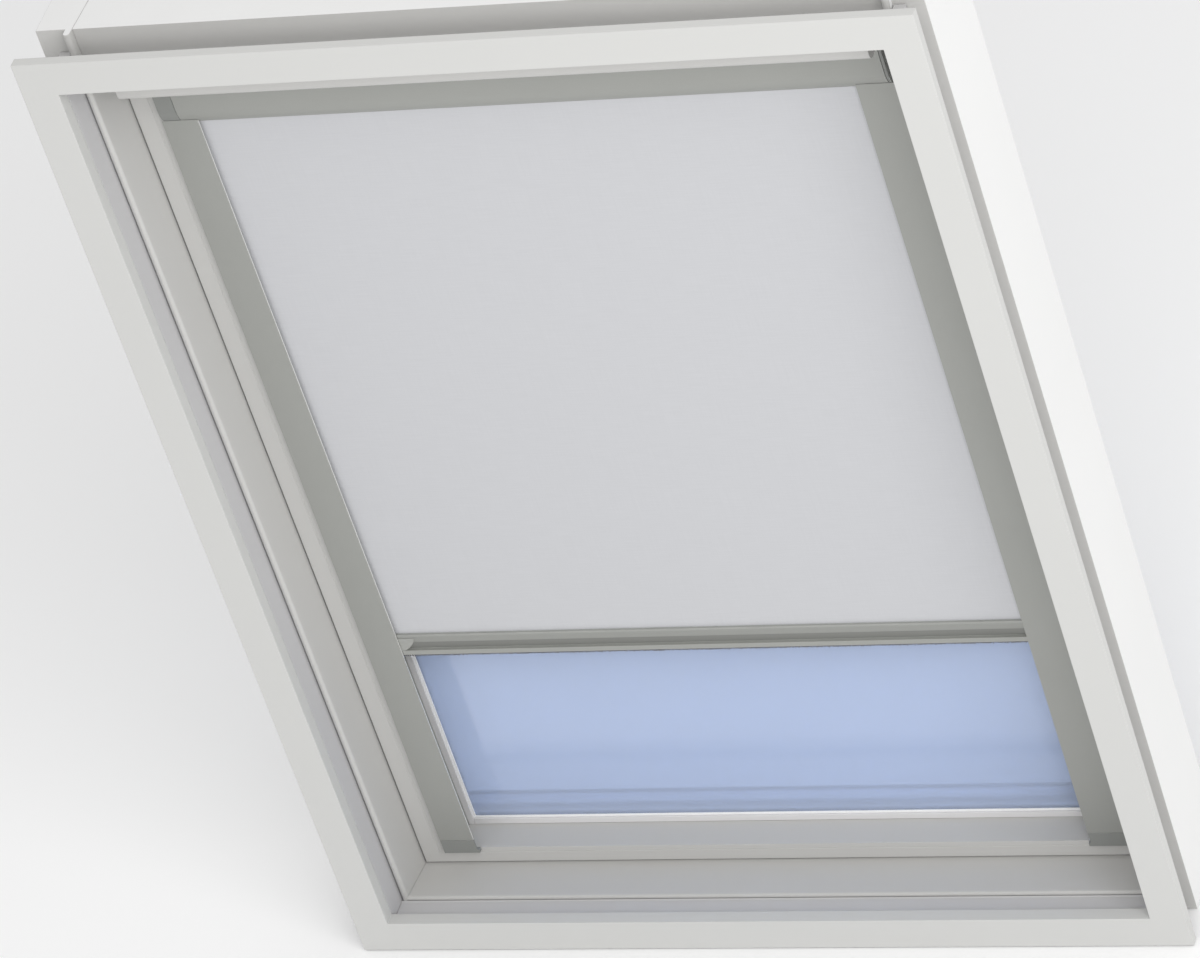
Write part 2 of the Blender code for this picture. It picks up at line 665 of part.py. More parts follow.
def make_glazing(holder):
    """Two panes with their spacer, held between room-side beads and outer covers."""
    depths = (at_depth(BEAD_FRONT), at_depth(BEAD_FRONT + BEAD_THICKNESS))
    outer = SASH_INNER_HALF - FIT
    inner = outer - BEAD_SIDE_WIDTH
    low = SASH_INNER_LOW + FIT
    high = SASH_INNER_HIGH - FIT
    bead = {
        "left": ((-outer, -inner), (low, high)),
        "right": ((inner, outer), (low, high)),
        "bottom": ((-inner + FIT, inner - FIT), (low, low + BEAD_END_WIDTH)),
        "top": ((-inner + FIT, inner - FIT), (high - BEAD_END_WIDTH, high)),
    }
    for side, (across, up) in bead.items():
        box(f"glazing_bead_{side}", across, depths, up, SASH_PAINT, holder)

    glass = (GLASS_HALF, GLASS_LOW, GLASS_HIGH)
    lip = (
        inner - GASKET_SIDE_LIP,
        low + BEAD_END_WIDTH + GASKET_END_LIP,
        high - BEAD_END_WIDTH - GASKET_END_LIP,
    )
    depths = (at_depth(GASKET_FRONT), at_depth(GASKET_FRONT + GASKET_THICKNESS))
    rectangle_ring("glass_gasket", glass, lip, depths, SEAL_WHITE, holder)

    for name, start in (("glass_inner", PANE_FRONT), ("glass_outer", OUTER_PANE_FRONT)):
        depths = (at_depth(start), at_depth(start + PANE_THICKNESS))
        pane = ((-GLASS_HALF, GLASS_HALF), depths, (GLASS_LOW, GLASS_HIGH))
        box(name, *pane, CLEAR_GLASS, holder)

    ring = tuple(a + b for a, b in zip(glass, (-SPACER_INSET, SPACER_INSET, -SPACER_INSET)))
    hole = tuple(a + b for a, b in zip(ring, (-SPACER_WIDTH, SPACER_WIDTH, -SPACER_WIDTH)))
    depths = (at_depth(SPACER_FRONT), at_depth(OUTER_PANE_FRONT - FIT))
    rectangle_ring("glass_spacer", ring, hole, depths, BRIGHT_ALUMINIUM, holder)

    start = SASH_BACK + FIT
    depths = (at_depth(start), at_depth(start + COVER_THICKNESS))
    outer = SASH_HALF - COVER_INSET
    inner = outer - COVER_WIDTH
    low = SASH_LOW + COVER_INSET
    high = SASH_HIGH - COVER_INSET
    cover = {
        "left": ((-outer, -inner), (low, high)),
        "right": ((inner, outer), (low, high)),
        "bottom": ((-inner + FIT, inner - FIT), (low, low + COVER_WIDTH)),
        "top": ((-inner + FIT, inner - FIT), (high - COVER_WIDTH, high)),
    }
    for side, (across, up) in cover.items():
        box(f"sash_cover_{side}", across, depths, up, OUTER_ALUMINIUM, holder)


def make_pivots(frame, sash, members):
    """A recessed bearing plate with its pin in the frame, and the plate it turns in on the sash."""
    y = at_depth(PIVOT_DEPTH)
    across = (y - PIVOT_PLATE_WIDTH / 2, y + PIVOT_PLATE_WIDTH / 2)
    up = (PIVOT_Z - PIVOT_PLATE_LENGTH / 2, PIVOT_Z + PIVOT_PLATE_LENGTH / 2)
    wide = (across[0] - FIT, across[1] + FIT)
    tall = (up[0] - FIT, up[1] + FIT)
    for side, sign in (("left", -1), ("right", 1)):
        face = sign * FRAME_SIDE_REAR
        outward = Vector((sign, 0, 0))
        plate_back = face + sign * PIVOT_PLATE_THICKNESS
        bm = bmesh.new()
        add_box(bm, (face - sign * OVERSHOOT, plate_back + sign * FIT), wide, tall)
        cut(members[f"frame_{side}"], f"frame_recess_{side}", bm)
        bm = bmesh.new()
        add_box(bm, (face, plate_back), across, up)
        bearing = piece(f"pivot_bearing_{side}", bm, STEEL, frame)
        bm = bmesh.new()
        rod(bm, PIVOT_PIN_RADIUS, (plate_back - sign * FIT, y, PIVOT_Z), -outward,
            PIVOT_PIN_REACH + PIVOT_PLATE_THICKNESS)
        join(bearing, f"pivot_pin_{side}", bm)

        face = sign * SASH_HALF
        plate_back = face - sign * PIVOT_PLATE_THICKNESS
        bm = bmesh.new()
        add_box(bm, (face + sign * OVERSHOOT, plate_back - sign * FIT), wide, tall)
        cut(members[f"sash_{side}"], f"sash_recess_{side}", bm)
        bm = bmesh.new()
        rod(bm, PIVOT_PIN_RADIUS + FIT, (face, y, PIVOT_Z), -outward, PIVOT_PIN_REACH)
        cut(members[f"sash_{side}"], f"sash_pin_hole_{side}", bm)
        bm = bmesh.new()
        add_box(bm, (face, plate_back), across, up)
        plate = piece(f"pivot_plate_{side}", bm, STEEL, sash)
        bm = bmesh.new()
        rod(bm, PIVOT_PIN_RADIUS + FIT, (face + sign * OVERSHOOT, y, PIVOT_Z), -outward,
            PIVOT_PLATE_THICKNESS + 2 * OVERSHOOT)
        cut(plate, f"pivot_plate_hole_{side}", bm)


def make_control_bar(sash, holder):
    """Bar across the top of the sash, hung on a pin at each end, its nose a little lower."""
    front = at_depth(CONTROL_BAR_FRONT)
    back = at_depth(CONTROL_BACK)
    nose_low = CONTROL_LOW - CONTROL_BAR_NOSE_DROP
    nose = (front + CONTROL_BAR_ROUND, nose_low + CONTROL_BAR_ROUND)
    crown = (front + CONTROL_BAR_ROUND, CONTROL_HIGH - CONTROL_BAR_ROUND)
    section = [
        *arc(nose, CONTROL_BAR_ROUND, 180, 270, CONTROL_NOSE_STEPS),
        (back - CONTROL_BAR_CHAMFER, CONTROL_LOW),
        (back, CONTROL_LOW + CONTROL_BAR_CHAMFER),
        (back, CONTROL_HIGH),
        *arc(crown, CONTROL_BAR_ROUND, 90, 180, CONTROL_NOSE_STEPS),
    ]
    bm = bmesh.new()
    along_x(bm, section, -CONTROL_HALF, CONTROL_HALF)
    bar = piece("control_bar", bm, SASH_PAINT, holder)
    axis = (at_depth(CONTROL_AXIS_DEPTH), CONTROL_AXIS_Z)
    notch_end = CONTROL_HALF - CONTROL_NOTCH_WIDTH
    ear_inner = notch_end + (CONTROL_NOTCH_WIDTH - CONTROL_EAR_THICKNESS) / 2
    for side, sign in (("left", -1), ("right", 1)):
        bm = bmesh.new()
        add_box(
            bm,
            (sign * notch_end, sign * (CONTROL_HALF + CONTROL_NOTCH_WIDTH)),
            (back - CONTROL_NOTCH_DEPTH, back + CONTROL_NOTCH_DEPTH),
            (CONTROL_LOW - CONTROL_BAR_ROUND, CONTROL_HIGH + CONTROL_BAR_ROUND),
        )
        cut(bar, f"control_notch_{side}", bm)
        bm = bmesh.new()
        hole = (sign * (notch_end + OVERSHOOT), *axis)
        reach = CONTROL_PIN_LENGTH + TRAVEL_STOP + OVERSHOOT
        rod(bm, CONTROL_PIN_RADIUS + FIT, hole, (-sign, 0, 0), reach)
        cut(bar, f"control_pin_hole_{side}", bm)

        bm = bmesh.new()
        plate_back = at_depth(SASH_FRONT - FIT)
        ear = [
            *arc(axis, CONTROL_EAR_RADIUS, 90, 270, CONTROL_EAR_STEPS),
            (plate_back, axis[1] - CONTROL_EAR_RADIUS),
            (plate_back, axis[1] + CONTROL_EAR_RADIUS),
        ]
        low, high = sorted((sign * ear_inner, sign * (ear_inner + CONTROL_EAR_THICKNESS)))
        along_x(bm, ear, low, high)
        bracket = piece(f"control_bar_bracket_{side}", bm, STEEL, sash)
        bm = bmesh.new()
        start = (sign * (ear_inner + CONTROL_EAR_THICKNESS / 2), *axis)
        reach = CONTROL_EAR_THICKNESS / 2 + (ear_inner - notch_end) + CONTROL_PIN_LENGTH
        rod(bm, CONTROL_PIN_RADIUS, start, (-sign, 0, 0), reach - TRAVEL_STOP)
        join(bracket, f"control_pin_{side}", bm)


def make_rails(holder, members):
    """Side rails that the fabric's edges run in, with their feet and screws.

    A rail's upper end is cut to the cassette's underside. A foot closes the rail's lower end with
    a plate that continues the front wall, a boss behind it and a lap over the sash.
    """
    front = at_depth(RAIL_FRONT)
    back = at_depth(RAIL_BACK)
    flange = RAIL_OUTER - RAIL_BACK_FLANGE
    foot_outline = [
        (RAIL_OUTER, back),
        (RAIL_OUTER, front),
        (RAIL_INNER, front),
        (RAIL_INNER, front + RAIL_WALL),
        (flange, front + RAIL_WALL),
        (flange, back),
    ]
    outline = [
        (RAIL_OUTER, back),
        (RAIL_OUTER, front),
        (RAIL_INNER, front),
        (RAIL_INNER, front + RAIL_WALL),
        (RAIL_OUTER - RAIL_WALL, front + RAIL_WALL),
        (RAIL_OUTER - RAIL_WALL, back - RAIL_WALL),
        (flange, back - RAIL_WALL),
        (flange, back),
    ]
    lap_back = at_depth(SASH_FRONT - FIT)
    for side, sign in (("left", -1), ("right", 1)):
        bm = bmesh.new()
        along_z(bm, [(sign * x, y) for x, y in outline], RAIL_LOW, RAIL_HIGH)
        rail = piece(f"side_rail_{side}", bm, BLIND_GREY, holder)
        bm = bmesh.new()
        across = sorted((sign * (RAIL_INNER - OVERSHOOT), sign * (RAIL_OUTER + OVERSHOOT)))
        along_x(bm, cassette_outline(FIT), *across)
        cut(rail, f"rail_top_{side}", bm)
        head = (sign * (RAIL_OUTER - RAIL_WALL), (front + back) / 2, RAIL_LOW + RAIL_SCREW_HEIGHT)
        fit_screw(f"rail_screw_{side}", head, (sign, 0, 0), (rail, members[f"sash_{side}"]), holder)

        bm = bmesh.new()
        along_z(bm, [(sign * x, y) for x, y in foot_outline], FOOT_LOW, FOOT_HIGH)
        foot = piece(f"rail_foot_{side}", bm, CAP_GREY, holder)
        bm = bmesh.new()
        across = sorted((sign * (RAIL_INNER - FOOT_TOE), sign * RAIL_OUTER))
        add_box(bm, across, (front, lap_back), (FOOT_LOW - FOOT_LAP, FOOT_LOW + OVERSHOOT))
        join(foot, f"foot_lap_{side}", bm)


def cassette_outline(grow):
    """Outline of the cassette from its lip over the front and top to the bottom of its back.

    A positive grow gives the room round it, a negative one its inside.
    """
    front = at_depth(CASSETTE_FRONT) - grow
    back = at_depth(CASSETTE_BACK) + grow
    low = CASSETTE_LOW - grow
    high = CASSETTE_HIGH + grow
    radius = CASSETTE_ROUND + grow
    centre = (at_depth(CASSETTE_FRONT + CASSETTE_ROUND), CASSETTE_LOW + CASSETTE_ROUND_HEIGHT)
    sweep = math.degrees(math.asin((centre[1] - low) / radius))
    lip = arc(centre, radius, 180 + sweep, 180, CASSETTE_LIP_STEPS)
    return [*lip, (front, high), (back, high), (back, low)]


def make_cassette(holder, members):
    """The housing of the roller: an extruded shell, two end caps and two clip brackets."""
    outside = cassette_outline(0)
    inside = cassette_outline(-CASSETTE_WALL)
    left = -LEFT_CAP_FACE + FIT
    right = CASSETTE_HALF - CASSETTE_RIGHT_CAP - FIT
    bm = bmesh.new()
    along_x(bm, outside + list(reversed(inside)), left, right)
    piece("cassette_body", bm, BLIND_GREY, holder)

    axis = (at_depth(ROLLER_DEPTH), ROLLER_Z)
    bm = bmesh.new()
    along_x(bm, outside, -CASSETTE_HALF, -LEFT_CAP_FACE)
    cap = piece("cassette_cap_left", bm, CAP_GREY, holder)
    bm = bmesh.new()
    seat = (-LEFT_CAP_FACE + OVERSHOOT, *axis)
    rod(bm, SHAFT_RADIUS + FIT, seat, (-1, 0, 0), OVERSHOOT + SHAFT_SEAT + FIT)
    cut(cap, "shaft_seat", bm)

    bm = bmesh.new()
    along_x(bm, outside, CASSETTE_HALF - CASSETTE_RIGHT_CAP, CASSETTE_HALF)
    cap = piece("cassette_cap_right", bm, CAP_GREY, holder)
    bm = bmesh.new()
    start = CASSETTE_HALF - CASSETTE_RIGHT_CAP / 2
    reach = start - (ROLLER_HALF + PLUG_FLANGE - PLUG_LENGTH)
    rod(bm, SHAFT_RADIUS, (start, *axis), (-1, 0, 0), reach)
    join(cap, "idle_pin", bm)

    low = CASSETTE_HIGH + FIT
    high = SASH_INNER_HIGH - FIT
    middle = at_depth((SASH_FRONT + CASSETTE_BACK) / 2)
    depths = (middle - BRACKET_DEPTH / 2, middle + BRACKET_DEPTH / 2)
    web = (middle - BRACKET_WALL / 2, middle + BRACKET_WALL / 2)
    section = [
        (depths[0], low),
        (depths[1], low),
        (depths[1], low + BRACKET_WALL),
        (web[1], low + BRACKET_WALL),
        (web[1], high - BRACKET_WALL),
        (depths[1], high - BRACKET_WALL),
        (depths[1], high),
        (depths[0], high),
        (depths[0], high - BRACKET_WALL),
        (web[0], high - BRACKET_WALL),
        (web[0], low + BRACKET_WALL),
        (depths[0], low + BRACKET_WALL),
    ]
    screw_y = (web[1] + depths[1]) / 2
    for side, sign in (("left", -1), ("right", 1)):
        centre = sign * BRACKET_CENTRE
        bm = bmesh.new()
        along_x(bm, section, centre - BRACKET_WIDTH / 2, centre + BRACKET_WIDTH / 2)
        bracket = piece(f"cassette_bracket_{side}", bm, STEEL, holder)
        head = (centre, screw_y, high - BRACKET_WALL)
        joined = (bracket, members["sash_top"])
        fit_screw(f"bracket_screw_{side}", head, (0, 0, 1), joined, holder)


def make_roller(sash, holder):
    """The roller with the wound fabric, and the shaft and spring that wind it from the left."""
    axis = (at_depth(ROLLER_DEPTH), ROLLER_Z)
    bm = bmesh.new()
    start = (-ROLLER_HALF, *axis)
    ring_rod(bm, ROLLER_RADIUS, ROLLER_RADIUS - ROLLER_WALL, start, (1, 0, 0), 2 * ROLLER_HALF)
    piece("roller_tube", bm, BRIGHT_ALUMINIUM, holder, smooth=True)
    bm = bmesh.new()
    start = (-FABRIC_HALF, *axis)
    ring_rod(bm, WOUND_RADIUS, ROLLER_RADIUS + FIT, start, (1, 0, 0), 2 * FABRIC_HALF)
    piece("fabric_roll", bm, BLIND_FABRIC, holder, smooth=True)
    plug_radius = ROLLER_RADIUS - ROLLER_WALL - FIT
    for side, sign in (("left", -1), ("right", 1)):
        bm = bmesh.new()
        end = sign * (ROLLER_HALF + FIT)
        ring_profile = [
            (ROLLER_RADIUS, -PLUG_FLANGE),
            (ROLLER_RADIUS, 0),
            (plug_radius, 0),
            (plug_radius, PLUG_LENGTH),
        ]
        turned(bm, ring_profile, (end, *axis), (-sign, 0, 0), ROLLER_SIDES)
        plug = piece(f"roller_plug_{side}", bm, CAP_GREY, holder, smooth=True)
        bm = bmesh.new()
        start = (end + sign * (PLUG_FLANGE + OVERSHOOT), *axis)
        reach = PLUG_FLANGE + PLUG_LENGTH + 2 * OVERSHOOT
        rod(bm, SHAFT_RADIUS + FIT, start, (-sign, 0, 0), reach)
        cut(plug, f"plug_bore_{side}", bm)

    bm = bmesh.new()
    rod(bm, SHAFT_RADIUS, (-LEFT_CAP_FACE - SHAFT_SEAT, *axis), (1, 0, 0), SHAFT_REACH)
    piece("spring_shaft", bm, STEEL, sash, smooth=True)
    make_spring(sash, (-ROLLER_HALF + SPRING_START, *axis))


def make_spring(holder, start):
    """Coil spring round the shaft, as one unbroken helix."""
    radius = SHAFT_RADIUS + FIT + SPRING_WIRE_RADIUS
    count = SPRING_CURLS * SPRING_POINTS_PER_CURL
    points = []
    for i in range(count + 1):
        angle = 2 * math.pi * i / SPRING_POINTS_PER_CURL
        along = SPRING_PITCH * i / SPRING_POINTS_PER_CURL
        points.append(Vector((along, radius * math.cos(angle), radius * math.sin(angle))))
    curve = bpy.data.curves.new("lift_spring", "CURVE")
    curve.dimensions = "3D"
    curve.bevel_depth = SPRING_WIRE_RADIUS
    curve.bevel_resolution = 1
    curve.use_fill_caps = True
    spline = curve.splines.new("POLY")
    spline.points.add(len(points) - 1)
    for target, point in zip(spline.points, points):
        target.co = (*point, 1.0)
    curve.materials.append(material_for("lift_spring", STEEL))
    place(bpy.data.objects.new("lift_spring", curve), start, holder)
    later = SPRING_POINTS_PER_CURL
    nearest = min((b - a).length for a, b in zip(points, points[later:]))
    print(f"lift_spring: least gap to itself {(nearest - 2 * SPRING_WIRE_RADIUS) * 1000:.2f} mm")


def grip_section(gap):
    """Corners of the finger grip from its top edge down, or of what fills it with a gap round."""
    front = at_depth(BAR_FRONT)
    floor = front + BAR_GRIP_DEPTH - gap
    return [
        (front, GRIP_TOP - gap * BAR_GRIP_SLOPE / BAR_GRIP_DEPTH),
        (floor, GRIP_TOP - BAR_GRIP_SLOPE),
        (floor, GRIP_LOW + gap),
        (front, GRIP_LOW + gap),
    ]


def bar_section(with_grooves):
    """Section of the bottom bar from its top edge down its front, with (y, z) points."""
    front = at_depth(BAR_FRONT)
    back = front + BAR_DEPTH
    points = [(front + BAR_EDGE_ROUND, BAR_TOP), (front, BAR_TOP - BAR_EDGE_ROUND)]
    if not with_grooves:
        return [*points, (front, BAR_LOW), (back, BAR_LOW), (back, BAR_TOP)]
    near = front + BRUSH_FROM_FRONT
    far = near + BRUSH_GROOVE_WIDTH
    ceiling = BAR_LOW + BRUSH_GROOVE_DEPTH
    brush_groove = [(near, BAR_LOW), (near, ceiling), (far, ceiling), (far, BAR_LOW)]
    shoulder = BAR_TOP - BAR_SLOT_DEPTH
    fabric_slot = [
        (at_depth(SLOT_FAR), BAR_TOP),
        (at_depth(SLOT_FAR), shoulder),
        (at_depth(POCKET_FAR), shoulder),
        (at_depth(POCKET_FAR), POCKET_FLOOR),
        (at_depth(SLOT_NEAR), POCKET_FLOOR),
        (at_depth(SLOT_NEAR), BAR_TOP),
    ]
    points += [*grip_section(0), (front, BAR_LOW), *brush_groove]
    return [*points, (back, BAR_LOW), (back, BAR_TOP), *fabric_slot]


def add_web(end):
    """What the left end piece fills of the finger grip, up to a bowed edge."""
    front = at_depth(BAR_FRONT)
    tip = -BAR_BODY_HALF + BAR_WEB_TOP
    toe = -BAR_BODY_HALF + BAR_WEB_BOTTOM
    bm = bmesh.new()
    along_x(bm, grip_section(FIT), -BAR_BODY_HALF - FIT - OVERSHOOT, tip)
    join(end, "bar_web", bm)
    above, below = GRIP_TOP + OVERSHOOT, GRIP_LOW - OVERSHOOT
    edge = bowed((tip, GRIP_TOP), (toe, GRIP_LOW), BAR_WEB_BOW, BAR_WEB_STEPS)
    beyond = tip + BAR_WEB_TOP
    outline = [(tip, above), *edge, (toe, below), (beyond, below), (beyond, above)]
    bm = bmesh.new()
    along_y(bm, outline, front - OVERSHOOT, front + BAR_GRIP_DEPTH)
    cut(end, "bar_web_edge", bm)


def make_bottom_bar(holder):
    """The weighted bar with its finger grip, its end pieces and the spline that locks the fabric.

    Each end piece has a tongue that runs in its rail, and the left one also closes the grip.
    """
    bm = bmesh.new()
    along_x(bm, bar_section(True), -BAR_BODY_HALF, BAR_BODY_HALF)
    piece("bottom_bar", bm, BLIND_GREY, holder)
    tongue_front = at_depth(FABRIC_DEPTH) + BAR_POCKET_WIDTH / 2
    tongue_high = BAR_TOP - TONGUE_BELOW_TOP
    for side, sign in (("left", -1), ("right", 1)):
        bm = bmesh.new()
        low, high = sorted((sign * (BAR_BODY_HALF + FIT), sign * BAR_HALF))
        along_x(bm, bar_section(False), low, high)
        end = piece(f"bar_end_{side}", bm, CAP_GREY, holder)
        bm = bmesh.new()
        add_box(
            bm,
            sorted((sign * (BAR_HALF - OVERSHOOT), sign * (BAR_HALF + TONGUE_REACH))),
            (tongue_front, tongue_front + TONGUE_THICKNESS),
            (tongue_high - TONGUE_HEIGHT, tongue_high),
        )
        join(end, f"bar_tongue_{side}", bm)
        if side == "left":
            add_web(end)

    bm = bmesh.new()
    middle = at_depth((SLOT_NEAR + POCKET_FAR) / 2)
    centre = (-BAR_BODY_HALF + FIT, middle, POCKET_FLOOR + FIT + SPLINE_RADIUS)
    rod(bm, SPLINE_RADIUS, centre, (1, 0, 0), 2 * (BAR_BODY_HALF - FIT), SCREW_SIDES)
    piece("fabric_spline", bm, CAP_GREY, holder, smooth=True)


def make_brush(holder):
    """Brush strip: a backing slid into the bar's groove, with a row of tapered strands."""
    rng = random.Random(BRUSH_SEED)
    groove = at_depth(BAR_FRONT) + BRUSH_FROM_FRONT
    root = BAR_LOW + BRUSH_GROOVE_DEPTH - FIT - BRUSH_BACKING
    half = BAR_BODY_HALF - FIT
    bm = bmesh.new()
    across = (groove + FIT, groove + BRUSH_GROOVE_WIDTH - FIT)
    add_box(bm, (-half, half), across, (root, root + BRUSH_BACKING))
    lengthwise = [e for e in bm.edges if abs(e.verts[0].co.x - e.verts[1].co.x) > half]
    under = [e for e in lengthwise if all(abs(v.co.z - root) < FIT for v in e.verts)]
    bmesh.ops.subdivide_edges(bm, edges=under, cuts=BRUSH_STRANDS - 1, use_grid_fill=True)
    cells = [f for f in bm.faces if all(abs(v.co.z - root) < FIT for v in f.verts)]
    bmesh.ops.inset_individual(bm, faces=cells, thickness=BRUSH_STRAND_MARGIN)
    tips = bmesh.ops.extrude_discrete_faces(bm, faces=cells)["faces"]
    for tip in tips:
        middle = tip.calc_center_median()
        reach = BRUSH_STRAND_LENGTH - BRUSH_LENGTH_SPREAD * rng.random()
        shift = BRUSH_TIP_SHIFT * (2 * rng.random() - 1)
        for vert in tip.verts:
            vert.co = middle + (vert.co - middle) * BRUSH_TIP_SCALE
            vert.co += Vector((shift, 0, -reach))
    piece("brush_strip", bm, BRUSH_DARK, holder)


def make_fabric(holder):
    """The hanging stretch of fabric, from the roll down into the bottom bar."""
    middle = at_depth(FABRIC_DEPTH)
    depths = (middle - FABRIC_THICKNESS / 2, middle + FABRIC_THICKNESS / 2)
    low = POCKET_FLOOR + 2 * FIT + 2 * SPLINE_RADIUS
    slotted = ((-BAR_BODY_HALF, BAR_BODY_HALF), depths, (low, ROLLER_Z))
    fabric = box("fabric_sheet", *slotted, BLIND_FABRIC, holder)
    bm = bmesh.new()
    wide = (-FABRIC_HALF, FABRIC_HALF)
    add_box(bm, wide, depths, (BAR_TOP + TRAVEL_STOP, ROLLER_Z))
    join(fabric, "fabric_full_width", bm)


def main():
    clear_scene()
    frame = empty("frame_origin", (0, 0, 0))
    sash = empty("sash_pivot_axis", (0, at_depth(PIVOT_DEPTH), PIVOT_Z), frame)
    axis = (0, at_depth(CONTROL_AXIS_DEPTH), CONTROL_AXIS_Z)
    control = empty("control_bar_axis", axis, sash)
    roller = empty("roller_axis", (0, at_depth(ROLLER_DEPTH), ROLLER_Z), sash)
    bar = empty("bottom_bar_slide", (0, at_depth(FABRIC_DEPTH), BAR_TOP), sash)

    make_architrave(frame)
    make_lining(frame)
    members = make_frame(frame)
    members.update(make_sash(sash))
    make_glazing(sash)
    make_pivots(frame, sash, members)
    make_control_bar(sash, control)
    make_rails(sash, members)
    make_cassette(sash, members)
    make_roller(sash, roller)
    make_fabric(sash)
    make_bottom_bar(bar)
    make_brush(bar)


main()
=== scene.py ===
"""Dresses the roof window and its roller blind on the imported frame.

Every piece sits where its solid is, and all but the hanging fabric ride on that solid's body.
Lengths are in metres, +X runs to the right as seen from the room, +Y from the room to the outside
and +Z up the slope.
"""

import json
import math

import bmesh
import bpy
from bpy.props import FloatProperty, FloatVectorProperty, IntProperty, PointerProperty
from mathutils import Matrix, Vector


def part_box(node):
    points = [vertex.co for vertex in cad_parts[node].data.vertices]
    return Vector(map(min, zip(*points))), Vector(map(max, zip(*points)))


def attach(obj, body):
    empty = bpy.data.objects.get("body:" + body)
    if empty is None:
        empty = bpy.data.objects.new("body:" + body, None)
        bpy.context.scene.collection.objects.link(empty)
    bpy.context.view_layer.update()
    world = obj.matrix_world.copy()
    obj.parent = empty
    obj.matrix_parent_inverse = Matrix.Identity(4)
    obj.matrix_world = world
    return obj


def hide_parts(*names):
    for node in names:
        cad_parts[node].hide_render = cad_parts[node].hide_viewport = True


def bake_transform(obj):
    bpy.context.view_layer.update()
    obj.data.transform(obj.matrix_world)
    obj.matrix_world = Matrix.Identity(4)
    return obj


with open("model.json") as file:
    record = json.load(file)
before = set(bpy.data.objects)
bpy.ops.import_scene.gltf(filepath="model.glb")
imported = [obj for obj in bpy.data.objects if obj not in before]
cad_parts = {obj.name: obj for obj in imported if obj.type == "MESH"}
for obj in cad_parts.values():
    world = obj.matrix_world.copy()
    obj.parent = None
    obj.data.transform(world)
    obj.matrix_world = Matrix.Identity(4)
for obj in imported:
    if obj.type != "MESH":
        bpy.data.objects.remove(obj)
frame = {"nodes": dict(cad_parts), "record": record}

bl_info = {
    "name": "Roof Window Blind",
    "version": (1, 0, 0),
    "blender": (4, 5, 0),
    "location": "3D View > Sidebar > Roof Window",
    "description": "Builds the painted roof window, its roller blind and a plain studio",
    "category": "Object",
}

NODES = frame["nodes"]
BODY_OF = {
    node: body
    for body, members in frame["record"]["behaviour"]["bodies"].items()
    for node in members
}
SLOT_OF = {row["node"]: row["material_slot"] for row in frame["record"]["subparts"]}
SIDES = ("left", "right")
FOUR_SIDES = ("left", "right", "bottom", "top")

# How far apart points may lie and still be one, and how far from a mitre they still belong to it
WELD = 1e-5
MITRE_REACH = 0.0006

# The angle past which an edge is sharp, and the angle up to which two faces are one
SHARP = math.radians(28)
FLAT = math.radians(0.6)

# Where the photograph was taken from, in the window's axes
CAMERA_PLACE = (2.1314, -4.1457, 4.0054)
CAMERA_FORWARD = (-0.37120, 0.70527, -0.60399)
CAMERA_UP = (0.02939, 0.65904, 0.75153)
SENSOR_WIDTH = 36.0

# Roundings of the edges that no setting covers
FINE_EDGE = 0.0001
THIN_EDGE = 0.0002
BEAD_EDGE = 0.0003
STEEL_EDGE = 0.0003
CAP_EDGE = 0.0004
SPACER_EDGE = 0.0005
COVER_EDGE = 0.0006
CONTROL_BAR_EDGE = 0.0006

# How deep a screw's head is, and how far a head stands off its seat
SCREW_DEPTH = 0.0014
SCREW_LIFT = 0.0001

# A tuft's tip as a share of its root, its largest lean in radians, and how single ones vary
TUFT_TIP = 0.85
TUFT_LEAN = 0.16
TUFT_SHORTEST = 0.62
TUFT_WIDEST = 1.25

# Linear colours that no setting covers
DUST = (0.52, 0.50, 0.47)
COVER_LINING = (0.94, 0.95, 0.97)
WEATHER_SEAL = (0.42, 0.42, 0.41)
ALUMINIUM = (0.72, 0.73, 0.74)
PLATED_STEEL = (0.55, 0.55, 0.54)
SPRING_STEEL = (0.36, 0.36, 0.37)


# Settings that a user would change


def colour(name, default):
    return FloatVectorProperty(
        name=name,
        description=f"{name}, as a linear colour",
        subtype="COLOR",
        size=3,
        min=0.0,
        max=1.0,
        default=default,
    )


def length(name, description, default):
    return FloatProperty(
        name=name, description=description, unit="LENGTH", min=0.0, precision=5, default=default
    )


class WindowPaint(bpy.types.PropertyGroup):
    """Colours and edges of the window's painted parts."""

    architrave: colour("Architrave paint", (0.60, 0.60, 0.585))
    lining: colour("Lining board", (0.54, 0.535, 0.54))
    timber: colour("Frame paint", (0.56, 0.555, 0.54))
    outside: colour("Frame primer outside", (0.82, 0.82, 0.815))
    sash: colour("Sash paint", (0.56, 0.555, 0.54))
    # Lighter than the sash paint, so the beads carry painted light where the rails shade them.
    bead: colour("Glazing bead", (0.74, 0.73, 0.735))
    control_bar: colour("Control bar paint", (0.55, 0.545, 0.53))
    cover: colour("Outer cover", (0.055, 0.058, 0.062))
    board_edge: length("Board edge", "Rounding of the architrave's edges", 0.0007)
    timber_edge: length("Timber edge", "Rounding of the frame's and the sash's edges", 0.0004)


class BlindFinish(bpy.types.PropertyGroup):
    """Colours of the blind, and the threads of its fabric."""

    rail: colour("Rail and cassette grey", (0.350, 0.355, 0.335))
    # The rails' inner lip faces are coated this lighter grey: a painted highlight where the lips'
    # edges catch the light.
    rail_lip_highlight: colour("Rail lip", (0.78, 0.78, 0.76))
    moulding: colour("End cap grey", (0.255, 0.262, 0.250))
    fabric: colour("Fabric", (0.555, 0.56, 0.58))
    metal_edge: length("Metal edge", "Rounding of the extruded edges", 0.0003)
    thread: length("Thread pitch", "Distance from one thread of the fabric to the next", 0.00045)
    ripple: length("Ripple", "How far the hanging fabric strays from a flat sheet", 0.0002)
    thickness: length("Fabric thickness", "Thickness of the coated fabric", 0.00035)


